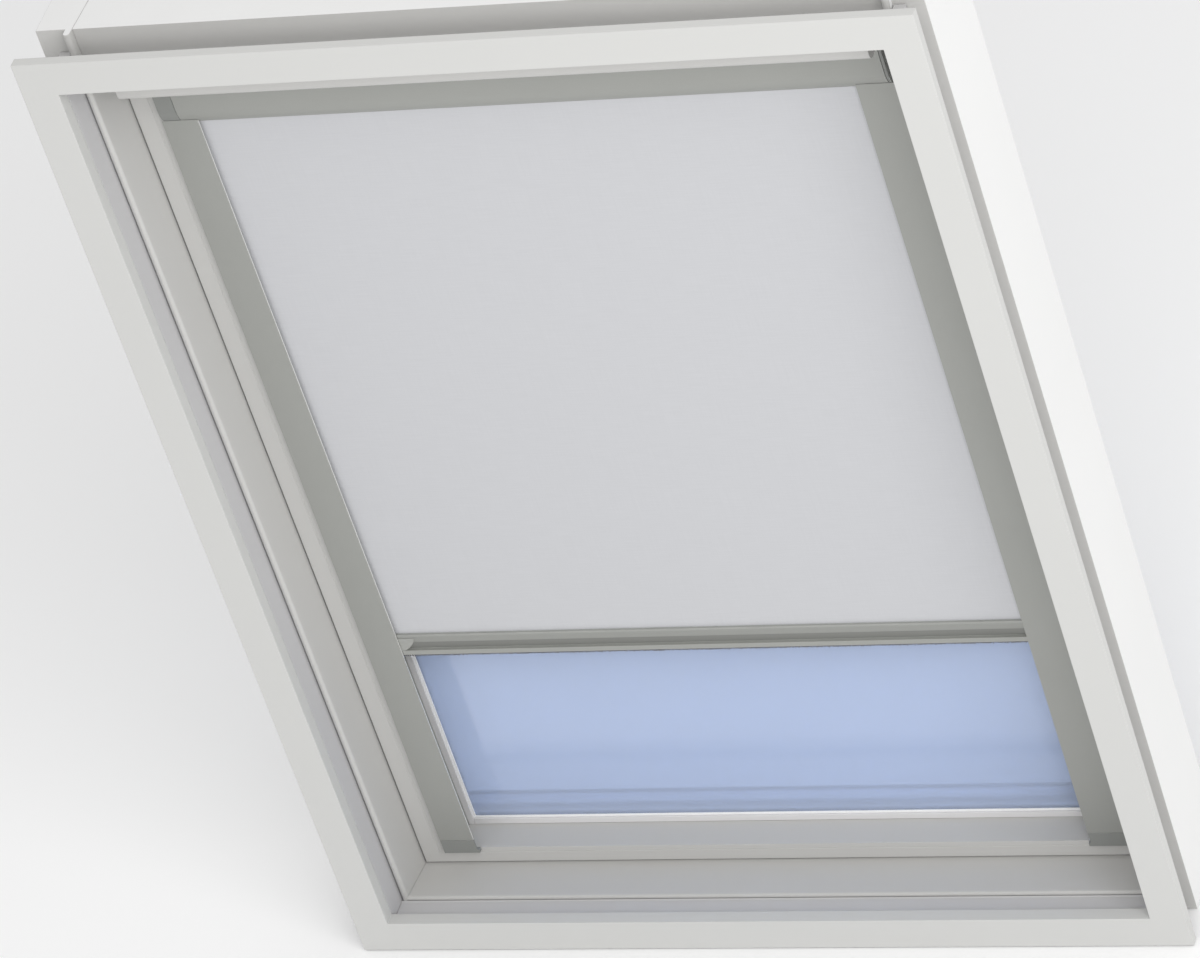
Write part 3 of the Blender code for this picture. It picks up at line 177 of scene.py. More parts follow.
class BrushShape(bpy.types.PropertyGroup):
    """The brush strip under the bottom bar."""

    pile: colour("Bristle colour", (0.10, 0.10, 0.105))
    bristles: IntProperty(
        name="Bristles", description="Tufts along the strip", min=10, default=2000
    )
    reach: length("Bristle length", "Longest bristle", 0.0038)
    radius: length("Bristle radius", "Radius at the root of a tuft", 0.00026)
    seed: IntProperty(name="Seed", description="Picks the bristles' lengths", default=11)


class Glazing(bpy.types.PropertyGroup):
    """The panes and the seals round them."""

    # The blue is partly the coating's own tint and partly painted sky reflection, carried on the
    # glass's diffuse share.
    tint: colour("Glass tint", (0.71, 0.79, 0.95))
    seal: colour("Glass seal", (0.93, 0.93, 0.94))
    outer_seal: colour("Outer seal", (0.02, 0.02, 0.022))
    bulb: length("Seal radius", "Radius of the outer seal's bulb", 0.0013)
    filler: length("Filler radius", "Radius of the filler between sill and frame", 0.0011)
    weather: length("Weather seal radius", "Radius of the seal under the sash", 0.0008)


class Hardware(bpy.types.PropertyGroup):
    """Screws and the lift spring."""

    head: length("Screw head radius", "Radius of a countersunk head", 0.0031)
    wire: length("Spring wire radius", "Radius of the lift spring's wire", 0.0004)
    turns: IntProperty(name="Spring turns", description="Turns of the spring", min=2, default=48)


class Studio(bpy.types.PropertyGroup):
    """Floor, lights and camera."""

    floor: colour("Floor", (0.95, 0.95, 0.95))
    sky: FloatProperty(
        name="Room light", description="Strength of the light from all round", default=0.78
    )
    key: FloatProperty(
        name="Key light", description="Strength of the large lamp", subtype="POWER", default=43.0
    )
    lens: FloatProperty(
        name="Lens", description="Focal length in millimetres", subtype="DISTANCE_CAMERA",
        default=214.08,
    )


# Shader nodes


def put(tree, kind, inputs=None, **settings):
    """Add a node, set its settings, and link or set its inputs."""
    node = tree.nodes.new(kind)
    for key, value in settings.items():
        setattr(node, key, value)
    for key, value in (inputs or {}).items():
        if isinstance(value, bpy.types.NodeSocket):
            tree.links.new(value, node.inputs[key])
        else:
            node.inputs[key].default_value = value
    return node


def maths(tree, operation, *values):
    """The result of one Math node on sockets or numbers."""
    return put(tree, "ShaderNodeMath", dict(enumerate(values)), operation=operation).outputs[0]


def noise(tree, vector, scale, **others):
    """The value of one noise texture, with its other inputs by name."""
    inputs = {"Vector": vector, "Scale": scale, **others}
    return put(tree, "ShaderNodeTexNoise", inputs).outputs["Fac"]


def ranged(tree, value, *limits):
    """A value carried from one range to another: from low, from high, to low, to high."""
    inputs = dict(zip(("From Min", "From Max", "To Min", "To Max"), limits))
    return put(tree, "ShaderNodeMapRange", {"Value": value, **inputs}).outputs["Result"]


def stretched(tree, vector, scale):
    """Coordinates scaled by a different factor along each axis."""
    return put(tree, "ShaderNodeMapping", {"Vector": vector, "Scale": scale}).outputs["Vector"]


def shader_group(name, inputs, outputs):
    """An empty shader group with named sockets, and its two end nodes."""
    group = bpy.data.node_groups.new(name, "ShaderNodeTree")
    for label, default in inputs.items():
        kind = "NodeSocketVector" if default is None else "NodeSocketFloat"
        socket = group.interface.new_socket(label, in_out="INPUT", socket_type=kind)
        if default is not None:
            socket.default_value = default
    for label in outputs:
        group.interface.new_socket(label, in_out="OUTPUT", socket_type="NodeSocketFloat")
    return group, group.nodes.new("NodeGroupInput"), group.nodes.new("NodeGroupOutput")


def closed(group, end, **results):
    """The group with its results linked to its outputs."""
    for label, socket in results.items():
        group.links.new(socket, end.inputs[label])
    return group


def paint_film():
    """Broad cloudiness and fine orange peel of a sprayed or rolled coat."""
    group, start, end = shader_group(
        "Paint Film", {"Vector": None, "Cloud Scale": 6.0, "Peel Scale": 600.0}, ("Tone", "Relief")
    )
    given = start.outputs
    cloud = noise(group, given["Vector"], given["Cloud Scale"], Detail=3.0, Roughness=0.55)
    peel = noise(group, given["Vector"], given["Peel Scale"], Detail=2.0)
    return closed(group, end, Tone=cloud, Relief=peel)


def run_lines():
    """Fine lines that run along a piece: wood grain under paint, or the draw marks of a profile."""
    group, start, end = shader_group(
        "Run Lines", {"Vector": None, "Line Scale": 500.0, "Wander": 4.0}, ("Tone", "Relief")
    )
    given = start.outputs
    fine = noise(group, given["Vector"], given["Line Scale"], Detail=3.0, Roughness=0.6)
    wide = maths(group, "DIVIDE", given["Line Scale"], 9.0)
    broad = noise(group, given["Vector"], wide, Detail=2.0, Distortion=given["Wander"])
    tone = maths(group, "MULTIPLY", maths(group, "ADD", fine, broad), 0.5)
    return closed(group, end, Tone=tone, Relief=fine)


def rubbed_edge():
    """Where an eased edge has been rubbed by hands and cloths, from the piece's own attribute."""
    group, start, end = shader_group("Rubbed Edge", {"Vector": None, "Amount": 0.5}, ("Mask",))
    edge = put(group, "ShaderNodeAttribute", attribute_name="eased").outputs["Fac"]
    worn = ranged(group, noise(group, start.outputs["Vector"], 55.0, Detail=4.0), 0.42, 0.66)
    mask = maths(group, "MULTIPLY", maths(group, "MULTIPLY", edge, worn), start.outputs["Amount"])
    return closed(group, end, Mask=mask)


def settled_dust():
    """Dust that lies on what faces up, thicker in patches."""
    group, start, end = shader_group("Settled Dust", {"Vector": None, "Amount": 0.2}, ("Mask",))
    normal = put(group, "ShaderNodeNewGeometry").outputs["Normal"]
    up = put(group, "ShaderNodeSeparateXYZ", {"Vector": normal}).outputs["Z"]
    facing = ranged(group, up, 0.35, 0.95)
    patches = noise(group, start.outputs["Vector"], 24.0, Detail=5.0)
    mask = maths(group, "MULTIPLY", maths(group, "MULTIPLY", facing, patches),
                 start.outputs["Amount"])
    return closed(group, end, Mask=mask)


def cloth_weave():
    """Plain weave with thicker weft threads here and there; the vector is metres on the cloth."""
    group, start, end = shader_group(
        "Cloth Weave", {"Vector": None, "Thread": 0.00045}, ("Tone", "Relief")
    )
    flat = start.outputs["Vector"]
    at = put(group, "ShaderNodeSeparateXYZ", {"Vector": flat}).outputs
    turn = maths(group, "DIVIDE", math.pi, start.outputs["Thread"])
    warp, weft = (maths(group, "SINE", maths(group, "MULTIPLY", at[way], turn)) for way in "XY")
    cross = maths(group, "MULTIPLY", warp, weft)
    slub = noise(group, stretched(group, flat, (38.0, 1150.0, 1.0)), 1.0, Detail=2.0)
    thin = noise(group, stretched(group, flat, (900.0, 22.0, 1.0)), 1.0, Detail=1.0)
    tone = maths(group, "ADD", maths(group, "MULTIPLY", slub, 0.7),
                 maths(group, "MULTIPLY", thin, 0.3))
    relief = maths(group, "ADD", maths(group, "MULTIPLY", cross, 0.5), slub)
    return closed(group, end, Tone=tone, Relief=relief)


SHADER_GROUPS = {
    "Paint Film": paint_film,
    "Run Lines": run_lines,
    "Rubbed Edge": rubbed_edge,
    "Settled Dust": settled_dust,
    "Cloth Weave": cloth_weave,
}


def effect(tree, name, inputs):
    """The outputs of a shared effect in a material, built when it is first asked for."""
    group = bpy.data.node_groups.get(name) or SHADER_GROUPS[name]()
    return put(tree, "ShaderNodeGroup", inputs, node_tree=group).outputs


def mixed(tree, factor, first, second):
    """A colour between two, by a factor socket."""
    node = put(tree, "ShaderNodeMix", data_type="RGBA")
    tree.links.new(factor, node.inputs["Factor"])
    for key, value in (("A", first), ("B", second)):
        socket = next(s for s in node.inputs if s.name == key and s.type == "RGBA")
        if isinstance(value, bpy.types.NodeSocket):
            tree.links.new(value, socket)
        else:
            socket.default_value = (*value, 1.0)
    return next(s for s in node.outputs if s.type == "RGBA")


def scaled(base, factor):
    return tuple(min(1.0, channel * factor) for channel in base)


def shell(name, **constants):
    """A new material, its tree and its Principled shader with the given constant values."""
    material = bpy.data.materials.new(name)
    material.use_nodes = True
    tree = material.node_tree
    shader = tree.nodes["Principled BSDF"]
    for key, value in constants.items():
        shader.inputs[key.replace("_", " ")].default_value = value
    return material, tree, shader


def surface(tree, shader, tint, roughness, *relief):
    """Link a shader's colour, its roughness and, if given, a relief's height, depth, strength."""
    tree.links.new(tint, shader.inputs["Base Color"])
    tree.links.new(roughness, shader.inputs["Roughness"])
    if relief:
        bump = put(tree, "ShaderNodeBump", dict(zip(("Height", "Distance", "Strength"), relief)))
        tree.links.new(bump.outputs["Normal"], shader.inputs["Normal"])


def on_object(tree):
    return put(tree, "ShaderNodeTexCoord").outputs["Object"]


def along(tree, axis, squeeze=60.0):
    """Object coordinates squeezed along one axis, so that a noise becomes lines along it."""
    scale = tuple(1.0 / squeeze if letter == axis else 1.0 for letter in "XYZ")
    return stretched(tree, on_object(tree), scale)


def rubbed(tree, place, amount, tint, bare):
    """A colour with another one where hands and cloths have rubbed the edges."""
    edge = effect(tree, "Rubbed Edge", {"Vector": place, "Amount": amount})
    return mixed(tree, edge["Mask"], tint, bare)


def painted(name, base, roughness=0.42, cloud=0.02, grain=None, dust=0.12, rub=0.35):
    """Brush or spray paint; grain names the axis that faint wood grain runs along."""
    material, tree, shader = shell(name, IOR=1.48, Coat_Weight=0.04, Coat_Roughness=0.25)
    place = on_object(tree)
    film = effect(tree, "Paint Film", {"Vector": place})
    tint = mixed(tree, film["Tone"], scaled(base, 1 - cloud), scaled(base, 1 + cloud))
    height = film["Relief"]
    if grain:
        lines = effect(tree, "Run Lines", {"Vector": along(tree, grain), "Line Scale": 420.0})
        factor = maths(tree, "MULTIPLY", lines["Tone"], 0.10)
        tint = mixed(tree, factor, tint, scaled(base, 0.86))
        height = maths(tree, "ADD", height, maths(tree, "MULTIPLY", lines["Relief"], 0.8))
    tint = rubbed(tree, place, rub, tint, scaled(base, 0.90))
    lain = effect(tree, "Settled Dust", {"Vector": place, "Amount": dust})
    tint = mixed(tree, lain["Mask"], tint, DUST)
    spread = ranged(tree, film["Tone"], 0.0, 1.0, roughness - 0.05, roughness + 0.05)
    surface(tree, shader, tint, spread, height, 0.00003, 0.6)
    return material


def powder_coated(name, base, run, roughness=0.46):
    """Satin powder coat on a drawn profile, with its fine grain and faint draw lines along run."""
    material, tree, shader = shell(name, Metallic=0.25, IOR=1.5, Coat_Weight=0.06,
                                   Coat_Roughness=0.35)
    place = on_object(tree)
    grainy = effect(tree, "Paint Film", {"Vector": place, "Cloud Scale": 9.0, "Peel Scale": 2600.0})
    lines = effect(tree, "Run Lines", {"Vector": along(tree, run, 200.0), "Line Scale": 700.0})
    tint = mixed(tree, grainy["Tone"], scaled(base, 0.975), scaled(base, 1.025))
    speck = ranged(tree, grainy["Relief"], 0.55, 0.75, 0.0, 0.16)
    tint = mixed(tree, speck, tint, scaled(base, 1.5))
    tint = mixed(tree, maths(tree, "MULTIPLY", lines["Tone"], 0.08), tint, scaled(base, 0.8))
    tint = rubbed(tree, place, 0.5, tint, scaled(base, 1.35))
    spread = ranged(tree, grainy["Relief"], 0.0, 1.0, roughness - 0.06, roughness + 0.06)
    surface(tree, shader, tint, spread, grainy["Relief"], 0.00002, 0.7)
    return material


def moulded(name, base, roughness=0.5):
    """Spark-eroded moulded plastic."""
    material, tree, shader = shell(name, IOR=1.46)
    place = on_object(tree)
    scales = {"Cloud Scale": 30.0, "Peel Scale": 1900.0}
    grainy = effect(tree, "Paint Film", {"Vector": place, **scales})
    tint = mixed(tree, grainy["Tone"], scaled(base, 0.96), scaled(base, 1.04))
    tint = rubbed(tree, place, 0.6, tint, scaled(base, 1.3))
    spread = ranged(tree, grainy["Relief"], 0.0, 1.0, roughness - 0.08, roughness + 0.08)
    surface(tree, shader, tint, spread, grainy["Relief"], 0.00004, 0.8)
    return material


def metal(name, base, roughness, run):
    """Bare or plated metal with draw lines along run and slight dulling in patches."""
    material, tree, shader = shell(name, Metallic=1.0)
    lines = effect(tree, "Run Lines", {"Vector": along(tree, run, 120.0), "Line Scale": 900.0})
    film = effect(tree, "Paint Film", {"Vector": on_object(tree), "Cloud Scale": 45.0})
    tint = mixed(tree, lines["Tone"], scaled(base, 0.88), scaled(base, 1.1))
    tint = mixed(tree, maths(tree, "MULTIPLY", film["Tone"], 0.2), tint, scaled(base, 0.7))
    spread = ranged(tree, lines["Tone"], 0.0, 1.0, roughness - 0.08, roughness + 0.10)
    surface(tree, shader, tint, spread, lines["Relief"], 0.00001, 0.5)
    return material


def clear_glass(name, tint):
    """Coated float glass with a pale streaky haze; its blue tint on a diffuse share is partly the
    coating's own tint and partly painted sky reflection. Rays from lamps pass through it.
    """
    material, tree, shader = shell(name, IOR=1.5, Transmission_Weight=0.7)
    wiped = effect(tree, "Run Lines", {"Vector": along(tree, "X", 8.0), "Line Scale": 22.0})
    haze = maths(tree, "MULTIPLY", wiped["Tone"], 0.10)
    spread = ranged(tree, wiped["Tone"], 0.0, 1.0, 0.0, 0.012)
    surface(tree, shader, mixed(tree, haze, tint, scaled(tint, 1.12)), spread)
    from_lamp = put(tree, "ShaderNodeLightPath").outputs["Is Shadow Ray"]
    clear = put(tree, "ShaderNodeBsdfTransparent").outputs["BSDF"]
    blend = put(tree, "ShaderNodeMixShader", {0: from_lamp, 1: shader.outputs["BSDF"], 2: clear})
    tree.links.new(blend.outputs["Shader"], tree.nodes["Material Output"].inputs["Surface"])
    return material


def woven(name, base, thread):
    """Coated blind fabric: plain weave, slubs across it, and a soft sheen."""
    material, tree, shader = shell(name, Sheen_Weight=0.25, Sheen_Roughness=0.5, IOR=1.4)
    flat = put(tree, "ShaderNodeUVMap", uv_map="UVMap").outputs["UV"]
    weave = effect(tree, "Cloth Weave", {"Vector": flat, "Thread": thread})
    spread = ranged(tree, weave["Tone"], 0.35, 0.65)
    tint = mixed(tree, spread, scaled(base, 0.98), scaled(base, 1.015))
    shine = ranged(tree, weave["Tone"], 0.0, 1.0, 0.9, 0.72)
    surface(tree, shader, tint, shine, weave["Relief"], 0.00008, 0.55)
    return material


def rubbery(name, base, run):
    """Extruded rubber seal with a dull bloom."""
    material, tree, shader = shell(name, IOR=1.5)
    lines = effect(tree, "Run Lines", {"Vector": along(tree, run, 90.0), "Line Scale": 600.0})
    tint = mixed(tree, lines["Tone"], scaled(base, 0.93), scaled(base, 1.07))
    spread = ranged(tree, lines["Tone"], 0.0, 1.0, 0.5, 0.72)
    surface(tree, shader, tint, spread, lines["Relief"], 0.00002, 0.5)
    return material


def bristly(name, base):
    """Polypropylene pile: each tuft a little lighter or darker than the next."""
    material, tree, shader = shell(name, Sheen_Weight=0.2)
    tuft = noise(tree, on_object(tree), 1400.0, Detail=1.0)
    tint = mixed(tree, tuft, scaled(base, 0.4), scaled(base, 2.2))
    surface(tree, shader, tint, ranged(tree, tuft, 0.0, 1.0, 0.6, 0.85))
    return material


def finish(name):
    """The material of that name, made when it is first asked for."""
    found = bpy.data.materials.get(name)
    if found:
        return found
    scene = bpy.context.scene
    paint, blind = scene.window_paint, scene.blind_finish
    glazing, brush = scene.window_glazing, scene.brush_shape
    makers = {
        "architrave_paint": lambda: painted(name, paint.architrave, 0.40, cloud=0.012),
        "lining_board": lambda: painted(name, paint.lining, 0.50, cloud=0.02, dust=0.2),
        "frame_paint_upright": lambda: painted(name, paint.timber, grain="Z"),
        "frame_paint_level": lambda: painted(name, paint.timber, grain="X", dust=0.2),
        "frame_primer": lambda: painted(name, paint.outside, 0.55, rub=0.0),
        "bead_paint_with_painted_light": lambda: painted(name, paint.bead, 0.45),
        "sash_paint_upright": lambda: painted(name, paint.sash, grain="Z"),
        "sash_paint_level": lambda: painted(name, paint.sash, grain="X"),
        "control_bar_paint": lambda: painted(name, paint.control_bar, 0.35, cloud=0.012),
        "outer_cover_coat": lambda: powder_coated(name, paint.cover, "Z", 0.5),
        "cover_lining": lambda: painted(name, COVER_LINING, 0.6, cloud=0.01, rub=0.0),
        "rail_coat": lambda: powder_coated(name, blind.rail, "Z"),
        # Painted highlight on the rails' inner lip faces.
        "rail_lip_highlight_coat": lambda: powder_coated(name, blind.rail_lip_highlight, "Z"),
        "cassette_coat": lambda: powder_coated(name, blind.rail, "X"),
        "bar_end_plastic": lambda: moulded(name, blind.rail),
        # A darker coat on the bottom bar's grip floor: painted shade in the recess.
        "grip_floor_painted_shade": lambda: powder_coated(name, scaled(blind.rail, 0.70), "X"),
        "end_cap_plastic": lambda: moulded(name, blind.moulding),
        "spline_plastic": lambda: moulded(name, scaled(blind.moulding, 1.6)),
        "blind_cloth": lambda: woven(name, blind.fabric, blind.thread),
        "bristle_pile": lambda: bristly(name, brush.pile),
        "pane_glass": lambda: clear_glass(name, glazing.tint),
        "glass_seal_rubber": lambda: rubbery(name, glazing.seal, "Z"),
        "weather_seal_rubber": lambda: rubbery(name, WEATHER_SEAL, "X"),
        "outer_seal_rubber": lambda: rubbery(name, glazing.outer_seal, "X"),
        "mill_aluminium": lambda: metal(name, ALUMINIUM, 0.34, "X"),
        "plated_steel": lambda: metal(name, PLATED_STEEL, 0.32, "Z"),
        "spring_steel": lambda: metal(name, SPRING_STEEL, 0.28, "X"),
    }
    return makers[name]()


# Mesh work


def as_object(name, bm, *materials):
    """A linked object from a bmesh, with its material or materials."""
    mesh = bpy.data.meshes.new(name)
    bm.to_mesh(mesh)
    bm.free()
    for material in materials:
        mesh.materials.append(finish(material))
    obj = bpy.data.objects.new(name, mesh)
    bpy.context.scene.collection.objects.link(obj)
    return obj


def make_plain(obj):
    """Replace an object's mesh by what its modifiers make of it, and drop the modifiers."""
    graph = bpy.context.evaluated_depsgraph_get()
    mesh = bpy.data.meshes.new_from_object(obj.evaluated_get(graph))
    obj.modifiers.clear()
    old = obj.data
    obj.data = mesh
    if old.users == 0:
        bpy.data.meshes.remove(old)
    return obj


def solid_of(*nodes):
    """The solids' meshes in one bmesh, with their doubled points merged and flat faces whole."""
    bm = bmesh.new()
    for node in nodes:
        bm.from_mesh(NODES[node].data)
    bmesh.ops.remove_doubles(bm, verts=bm.verts, dist=WELD)
    bmesh.ops.dissolve_limit(bm, angle_limit=FLAT, verts=bm.verts, edges=bm.edges)
    return bm


def weld_mitres(nodes):
    """One closed ring from four mitred members, whose joints are filled and painted over."""
    bm = bmesh.new()
    half = max(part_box(node)[1].x for node in nodes)
    low = min(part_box(node)[0].z for node in nodes)
    high = max(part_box(node)[1].z for node in nodes)
    level = next(node for node in nodes if node.endswith("bottom"))
    upright = next(node for node in nodes if node.endswith("left"))
    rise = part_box(level)[1].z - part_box(level)[0].z
    ratio = rise / (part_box(upright)[1].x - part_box(upright)[0].x)

    def corner(point):
        """(inset from the side, inset from the end) of a point, from the corner it is nearest."""
        return half - abs(point.x), min(point.z - low, high - point.z)

    for node in nodes:
        member = solid_of(node)
        for vert in member.verts:
            across, up = corner(vert.co)
            if abs(up - ratio * across) > MITRE_REACH:
                continue
            if node.endswith(SIDES):
                target = ratio * across
                vert.co.z = low + target if vert.co.z < (low + high) / 2 else high - target
            else:
                vert.co.x = math.copysign(half - up / ratio, vert.co.x)
        scratch = bpy.data.meshes.new("member")
        member.to_mesh(scratch)
        member.free()
        bm.from_mesh(scratch)
        bpy.data.meshes.remove(scratch)
    bmesh.ops.remove_doubles(bm, verts=bm.verts, dist=5 * WELD)

    def on_one_mitre(face):
        spots = [(corner(v.co), v.co.x > 0, v.co.z > (low + high) / 2) for v in face.verts]
        level = all(abs(up - ratio * across) < WELD for (across, up), _, _ in spots)
        return level and len({(east, top) for _, east, top in spots}) == 1

    inner = [face for face in bm.faces if on_one_mitre(face)]
    bmesh.ops.delete(bm, geom=inner, context="FACES_ONLY")
    bmesh.ops.recalc_face_normals(bm, faces=bm.faces)
    return bm


def ease_edges(bm, width):
    """Round off the sharp edges, and mark the new faces for the rubbed-edge shading."""
    layer = bm.faces.layers.float.get("eased") or bm.faces.layers.float.new("eased")
    bm.normal_update()
    sharp = [e for e in bm.edges if e.is_manifold and e.calc_face_angle(0.0) > SHARP]
    made = bmesh.ops.bevel(
        bm,
        geom=sharp,
        offset=width,
        offset_type="OFFSET",
        segments=2,
        profile=0.5,
        affect="EDGES",
        clamp_overlap=True,
    )
    for face in made["faces"]:
        face[layer] = 1.0
    return bm


def even_normals(obj):
    """Smooth shading that keeps flat faces flat between their rounded edges."""
    obj.data.shade_smooth()
    modifier = obj.modifiers.new("Even", "WEIGHTED_NORMAL")
    modifier.weight = 100
    return make_plain(obj)


def settle(obj, body, slot, *stands_for):
    """Put a finished piece on its body and hide the solids it stands for; slot is not used."""
    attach(obj, body)
    if stands_for:
        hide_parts(*stands_for)
    return obj


def dress(node, name, material, width, accent=None, accented=None):
    """A solid's own shape with eased edges; the accent coats the faces that accented picks."""
    bm = solid_of(node)
    materials = [material]
    if accent:
        materials.append(accent)
        bm.normal_update()
        for face in bm.faces:
            face.material_index = int(accented(face))
    obj = even_normals(as_object(name, ease_edges(bm, width), *materials))
    return settle(obj, BODY_OF[node], SLOT_OF[node], node)


def recoat(node, material):
    """Give a solid that stays as it is its finish."""
    for place in NODES[node].material_slots:
        place.material = finish(material)


def box_mesh(bm, low, high):
    size = Vector(high) - Vector(low)
    middle = (Vector(high) + Vector(low)) / 2
    place = Matrix.Translation(middle) @ Matrix.Diagonal((*size, 1.0))
    return bmesh.ops.create_cube(bm, size=1.0, matrix=place)


# Geometry node trees


SOCKETS = {
    float: "NodeSocketFloat",
    int: "NodeSocketInt",
    tuple: "NodeSocketVector",
    bpy.types.Material: "NodeSocketMaterial",
}


def growth_tree(name, inputs):
    """A geometry tree with an input of each name and kind, and its two end nodes."""
    tree = bpy.data.node_groups.new(name, "GeometryNodeTree")
    tree.interface.new_socket("Geometry", in_out="INPUT", socket_type="NodeSocketGeometry")
    for label, kind in inputs.items():
        tree.interface.new_socket(label, in_out="INPUT", socket_type=SOCKETS[kind])
    tree.interface.new_socket("Geometry", in_out="OUTPUT", socket_type="NodeSocketGeometry")
    return tree, tree.nodes.new("NodeGroupInput"), tree.nodes.new("NodeGroupOutput")


def finish_tree(tree, start, end, geometry, smooth=True):
    """Close a tree: realise what it scattered, shade it and give it its material."""
    real = put(tree, "GeometryNodeRealizeInstances", {"Geometry": geometry})
    shade = put(
        tree,
        "GeometryNodeSetShadeSmooth",
        {"Geometry": real.outputs["Geometry"], "Shade Smooth": smooth},
    )
    coat = put(
        tree,
        "GeometryNodeSetMaterial",
        {"Geometry": shade.outputs["Geometry"], "Material": start.outputs["Material"]},
    )
    tree.links.new(coat.outputs["Geometry"], end.inputs["Geometry"])
    return tree


def grow(name, tree, values, base=None):
    """Run a tree on a new object and keep what it makes as a plain mesh."""
    obj = bpy.data.objects.new(name, base or bpy.data.meshes.new(name))
    bpy.context.scene.collection.objects.link(obj)
    modifier = obj.modifiers.new("Grow", "NODES")
    modifier.node_group = tree
    for socket in tree.interface.items_tree:
        if socket.in_out == "INPUT" and socket.name in values:
            modifier[socket.identifier] = values[socket.name]
    make_plain(obj)
    if not obj.data.polygons:
        raise RuntimeError(f"{name}: its tree made no faces")
    return obj


def bristle_tree():
    """A bed of slightly tapered tufts along X, hanging down with random lengths and lean."""
    tree, start, end = growth_tree(
        "Bristle Bed",
        {"Root": tuple, "Run": float, "Bed Width": float, "Count": int, "Length": float,
         "Radius": float, "Seed": int, "Material": bpy.types.Material},
    )
    given = start.outputs
    half = maths(tree, "MULTIPLY", given["Run"], 0.5)
    right = put(tree, "ShaderNodeCombineXYZ", {"X": half}).outputs[0]
    left = put(tree, "ShaderNodeCombineXYZ", {"X": maths(tree, "MULTIPLY", half, -1.0)}).outputs[0]
    row = put(
        tree,
        "GeometryNodeMeshLine",
        {"Count": given["Count"], "Start Location": left, "Offset": right},
        mode="END_POINTS",
    )
    deep = maths(tree, "MULTIPLY", given["Bed Width"], 0.5)
    spot = put(
        tree,
        "FunctionNodeRandomValue",
        {"Min": put(tree, "ShaderNodeCombineXYZ",
                    {"Y": maths(tree, "MULTIPLY", deep, -1.0)}).outputs[0],
         "Max": put(tree, "ShaderNodeCombineXYZ", {"Y": deep}).outputs[0],
         "Seed": given["Seed"]},
        data_type="FLOAT_VECTOR",
    )
    away = put(tree, "ShaderNodeVectorMath", {0: spot.outputs[0], 1: given["Root"]})
    scatter = put(
        tree,
        "GeometryNodeSetPosition",
        {"Geometry": row.outputs["Mesh"], "Offset": away.outputs[0]},
    )
    tuft = put(
        tree,
        "GeometryNodeMeshCone",
        {"Vertices": 4, "Radius Top": maths(tree, "MULTIPLY", given["Radius"], TUFT_TIP),
         "Radius Bottom": given["Radius"], "Depth": given["Length"]},
    )
    lean = put(
        tree,
        "FunctionNodeRandomValue",
        {"Min": (math.pi - TUFT_LEAN, -TUFT_LEAN, 0.0),
         "Max": (math.pi + TUFT_LEAN, TUFT_LEAN, math.tau),
         "Seed": maths(tree, "ADD", given["Seed"], 1.0)},
        data_type="FLOAT_VECTOR",
    )
    size = put(
        tree,
        "FunctionNodeRandomValue",
        {"Min": (1.0, 1.0, TUFT_SHORTEST), "Max": (TUFT_WIDEST, TUFT_WIDEST, 1.0),
         "Seed": maths(tree, "ADD", given["Seed"], 2.0)},
        data_type="FLOAT_VECTOR",
    )
    stand = put(
        tree,
        "GeometryNodeInstanceOnPoints",
        {"Points": scatter.outputs["Geometry"], "Instance": tuft.outputs["Mesh"],
         "Rotation": lean.outputs[0], "Scale": size.outputs[0]},
    )
    return finish_tree(tree, start, end, stand.outputs["Instances"], smooth=False)


def coil_tree():
    """A wire wound into a coil along X, from its left end."""
    tree, start, end = growth_tree(
        "Wire Coil",
        {"Place": tuple, "Run": float, "Turns": float, "Radius": float, "Wire": float,
         "Material": bpy.types.Material},
    )
    given = start.outputs
    spiral = put(
        tree,
        "GeometryNodeCurveSpiral",
        {"Resolution": 14, "Rotations": given["Turns"], "Start Radius": given["Radius"],
         "End Radius": given["Radius"], "Height": given["Run"]},
    )
    ring = put(tree, "GeometryNodeCurvePrimitiveCircle", {"Resolution": 8, "Radius": given["Wire"]})
    wire = put(
        tree,
        "GeometryNodeCurveToMesh",
        {"Curve": spiral.outputs["Curve"], "Profile Curve": ring.outputs["Curve"],
         "Fill Caps": True},
    )
    laid = put(
        tree,
        "GeometryNodeTransform",
        {"Geometry": wire.outputs["Mesh"], "Translation": given["Place"],
         "Rotation": (0.0, math.pi / 2, 0.0)},
    )
    return finish_tree(tree, start, end, laid.outputs["Geometry"])


def wound_tree():
    """A strip of cloth wound up layer on layer round an axis along X."""
    tree, start, end = growth_tree(
        "Wound Cloth",
        {"Place": tuple, "Turns": float, "Inner Radius": float, "Outer Radius": float,
         "Width": float, "Thickness": float, "Material": bpy.types.Material},
    )
    given = start.outputs
    spiral = put(
        tree,
        "GeometryNodeCurveSpiral",
        {"Resolution": 40, "Rotations": given["Turns"], "Start Radius": given["Inner Radius"],
         "End Radius": given["Outer Radius"], "Height": 0.0},
    )
    flat = put(tree, "GeometryNodeSetCurveNormal", {"Curve": spiral.outputs["Curve"]}, mode="Z_UP")
    strip = put(
        tree,
        "GeometryNodeCurvePrimitiveQuadrilateral",
        {"Width": given["Thickness"], "Height": given["Width"]},
    )
    cloth = put(
        tree,
        "GeometryNodeCurveToMesh",
        {"Curve": flat.outputs["Curve"], "Profile Curve": strip.outputs["Curve"],
         "Fill Caps": True},
    )
    laid = put(
        tree,
        "GeometryNodeTransform",
        {"Geometry": cloth.outputs["Mesh"], "Translation": given["Place"],
         "Rotation": (0.0, math.pi / 2, 0.0)},
    )
    return finish_tree(tree, start, end, laid.outputs["Geometry"], smooth=False)


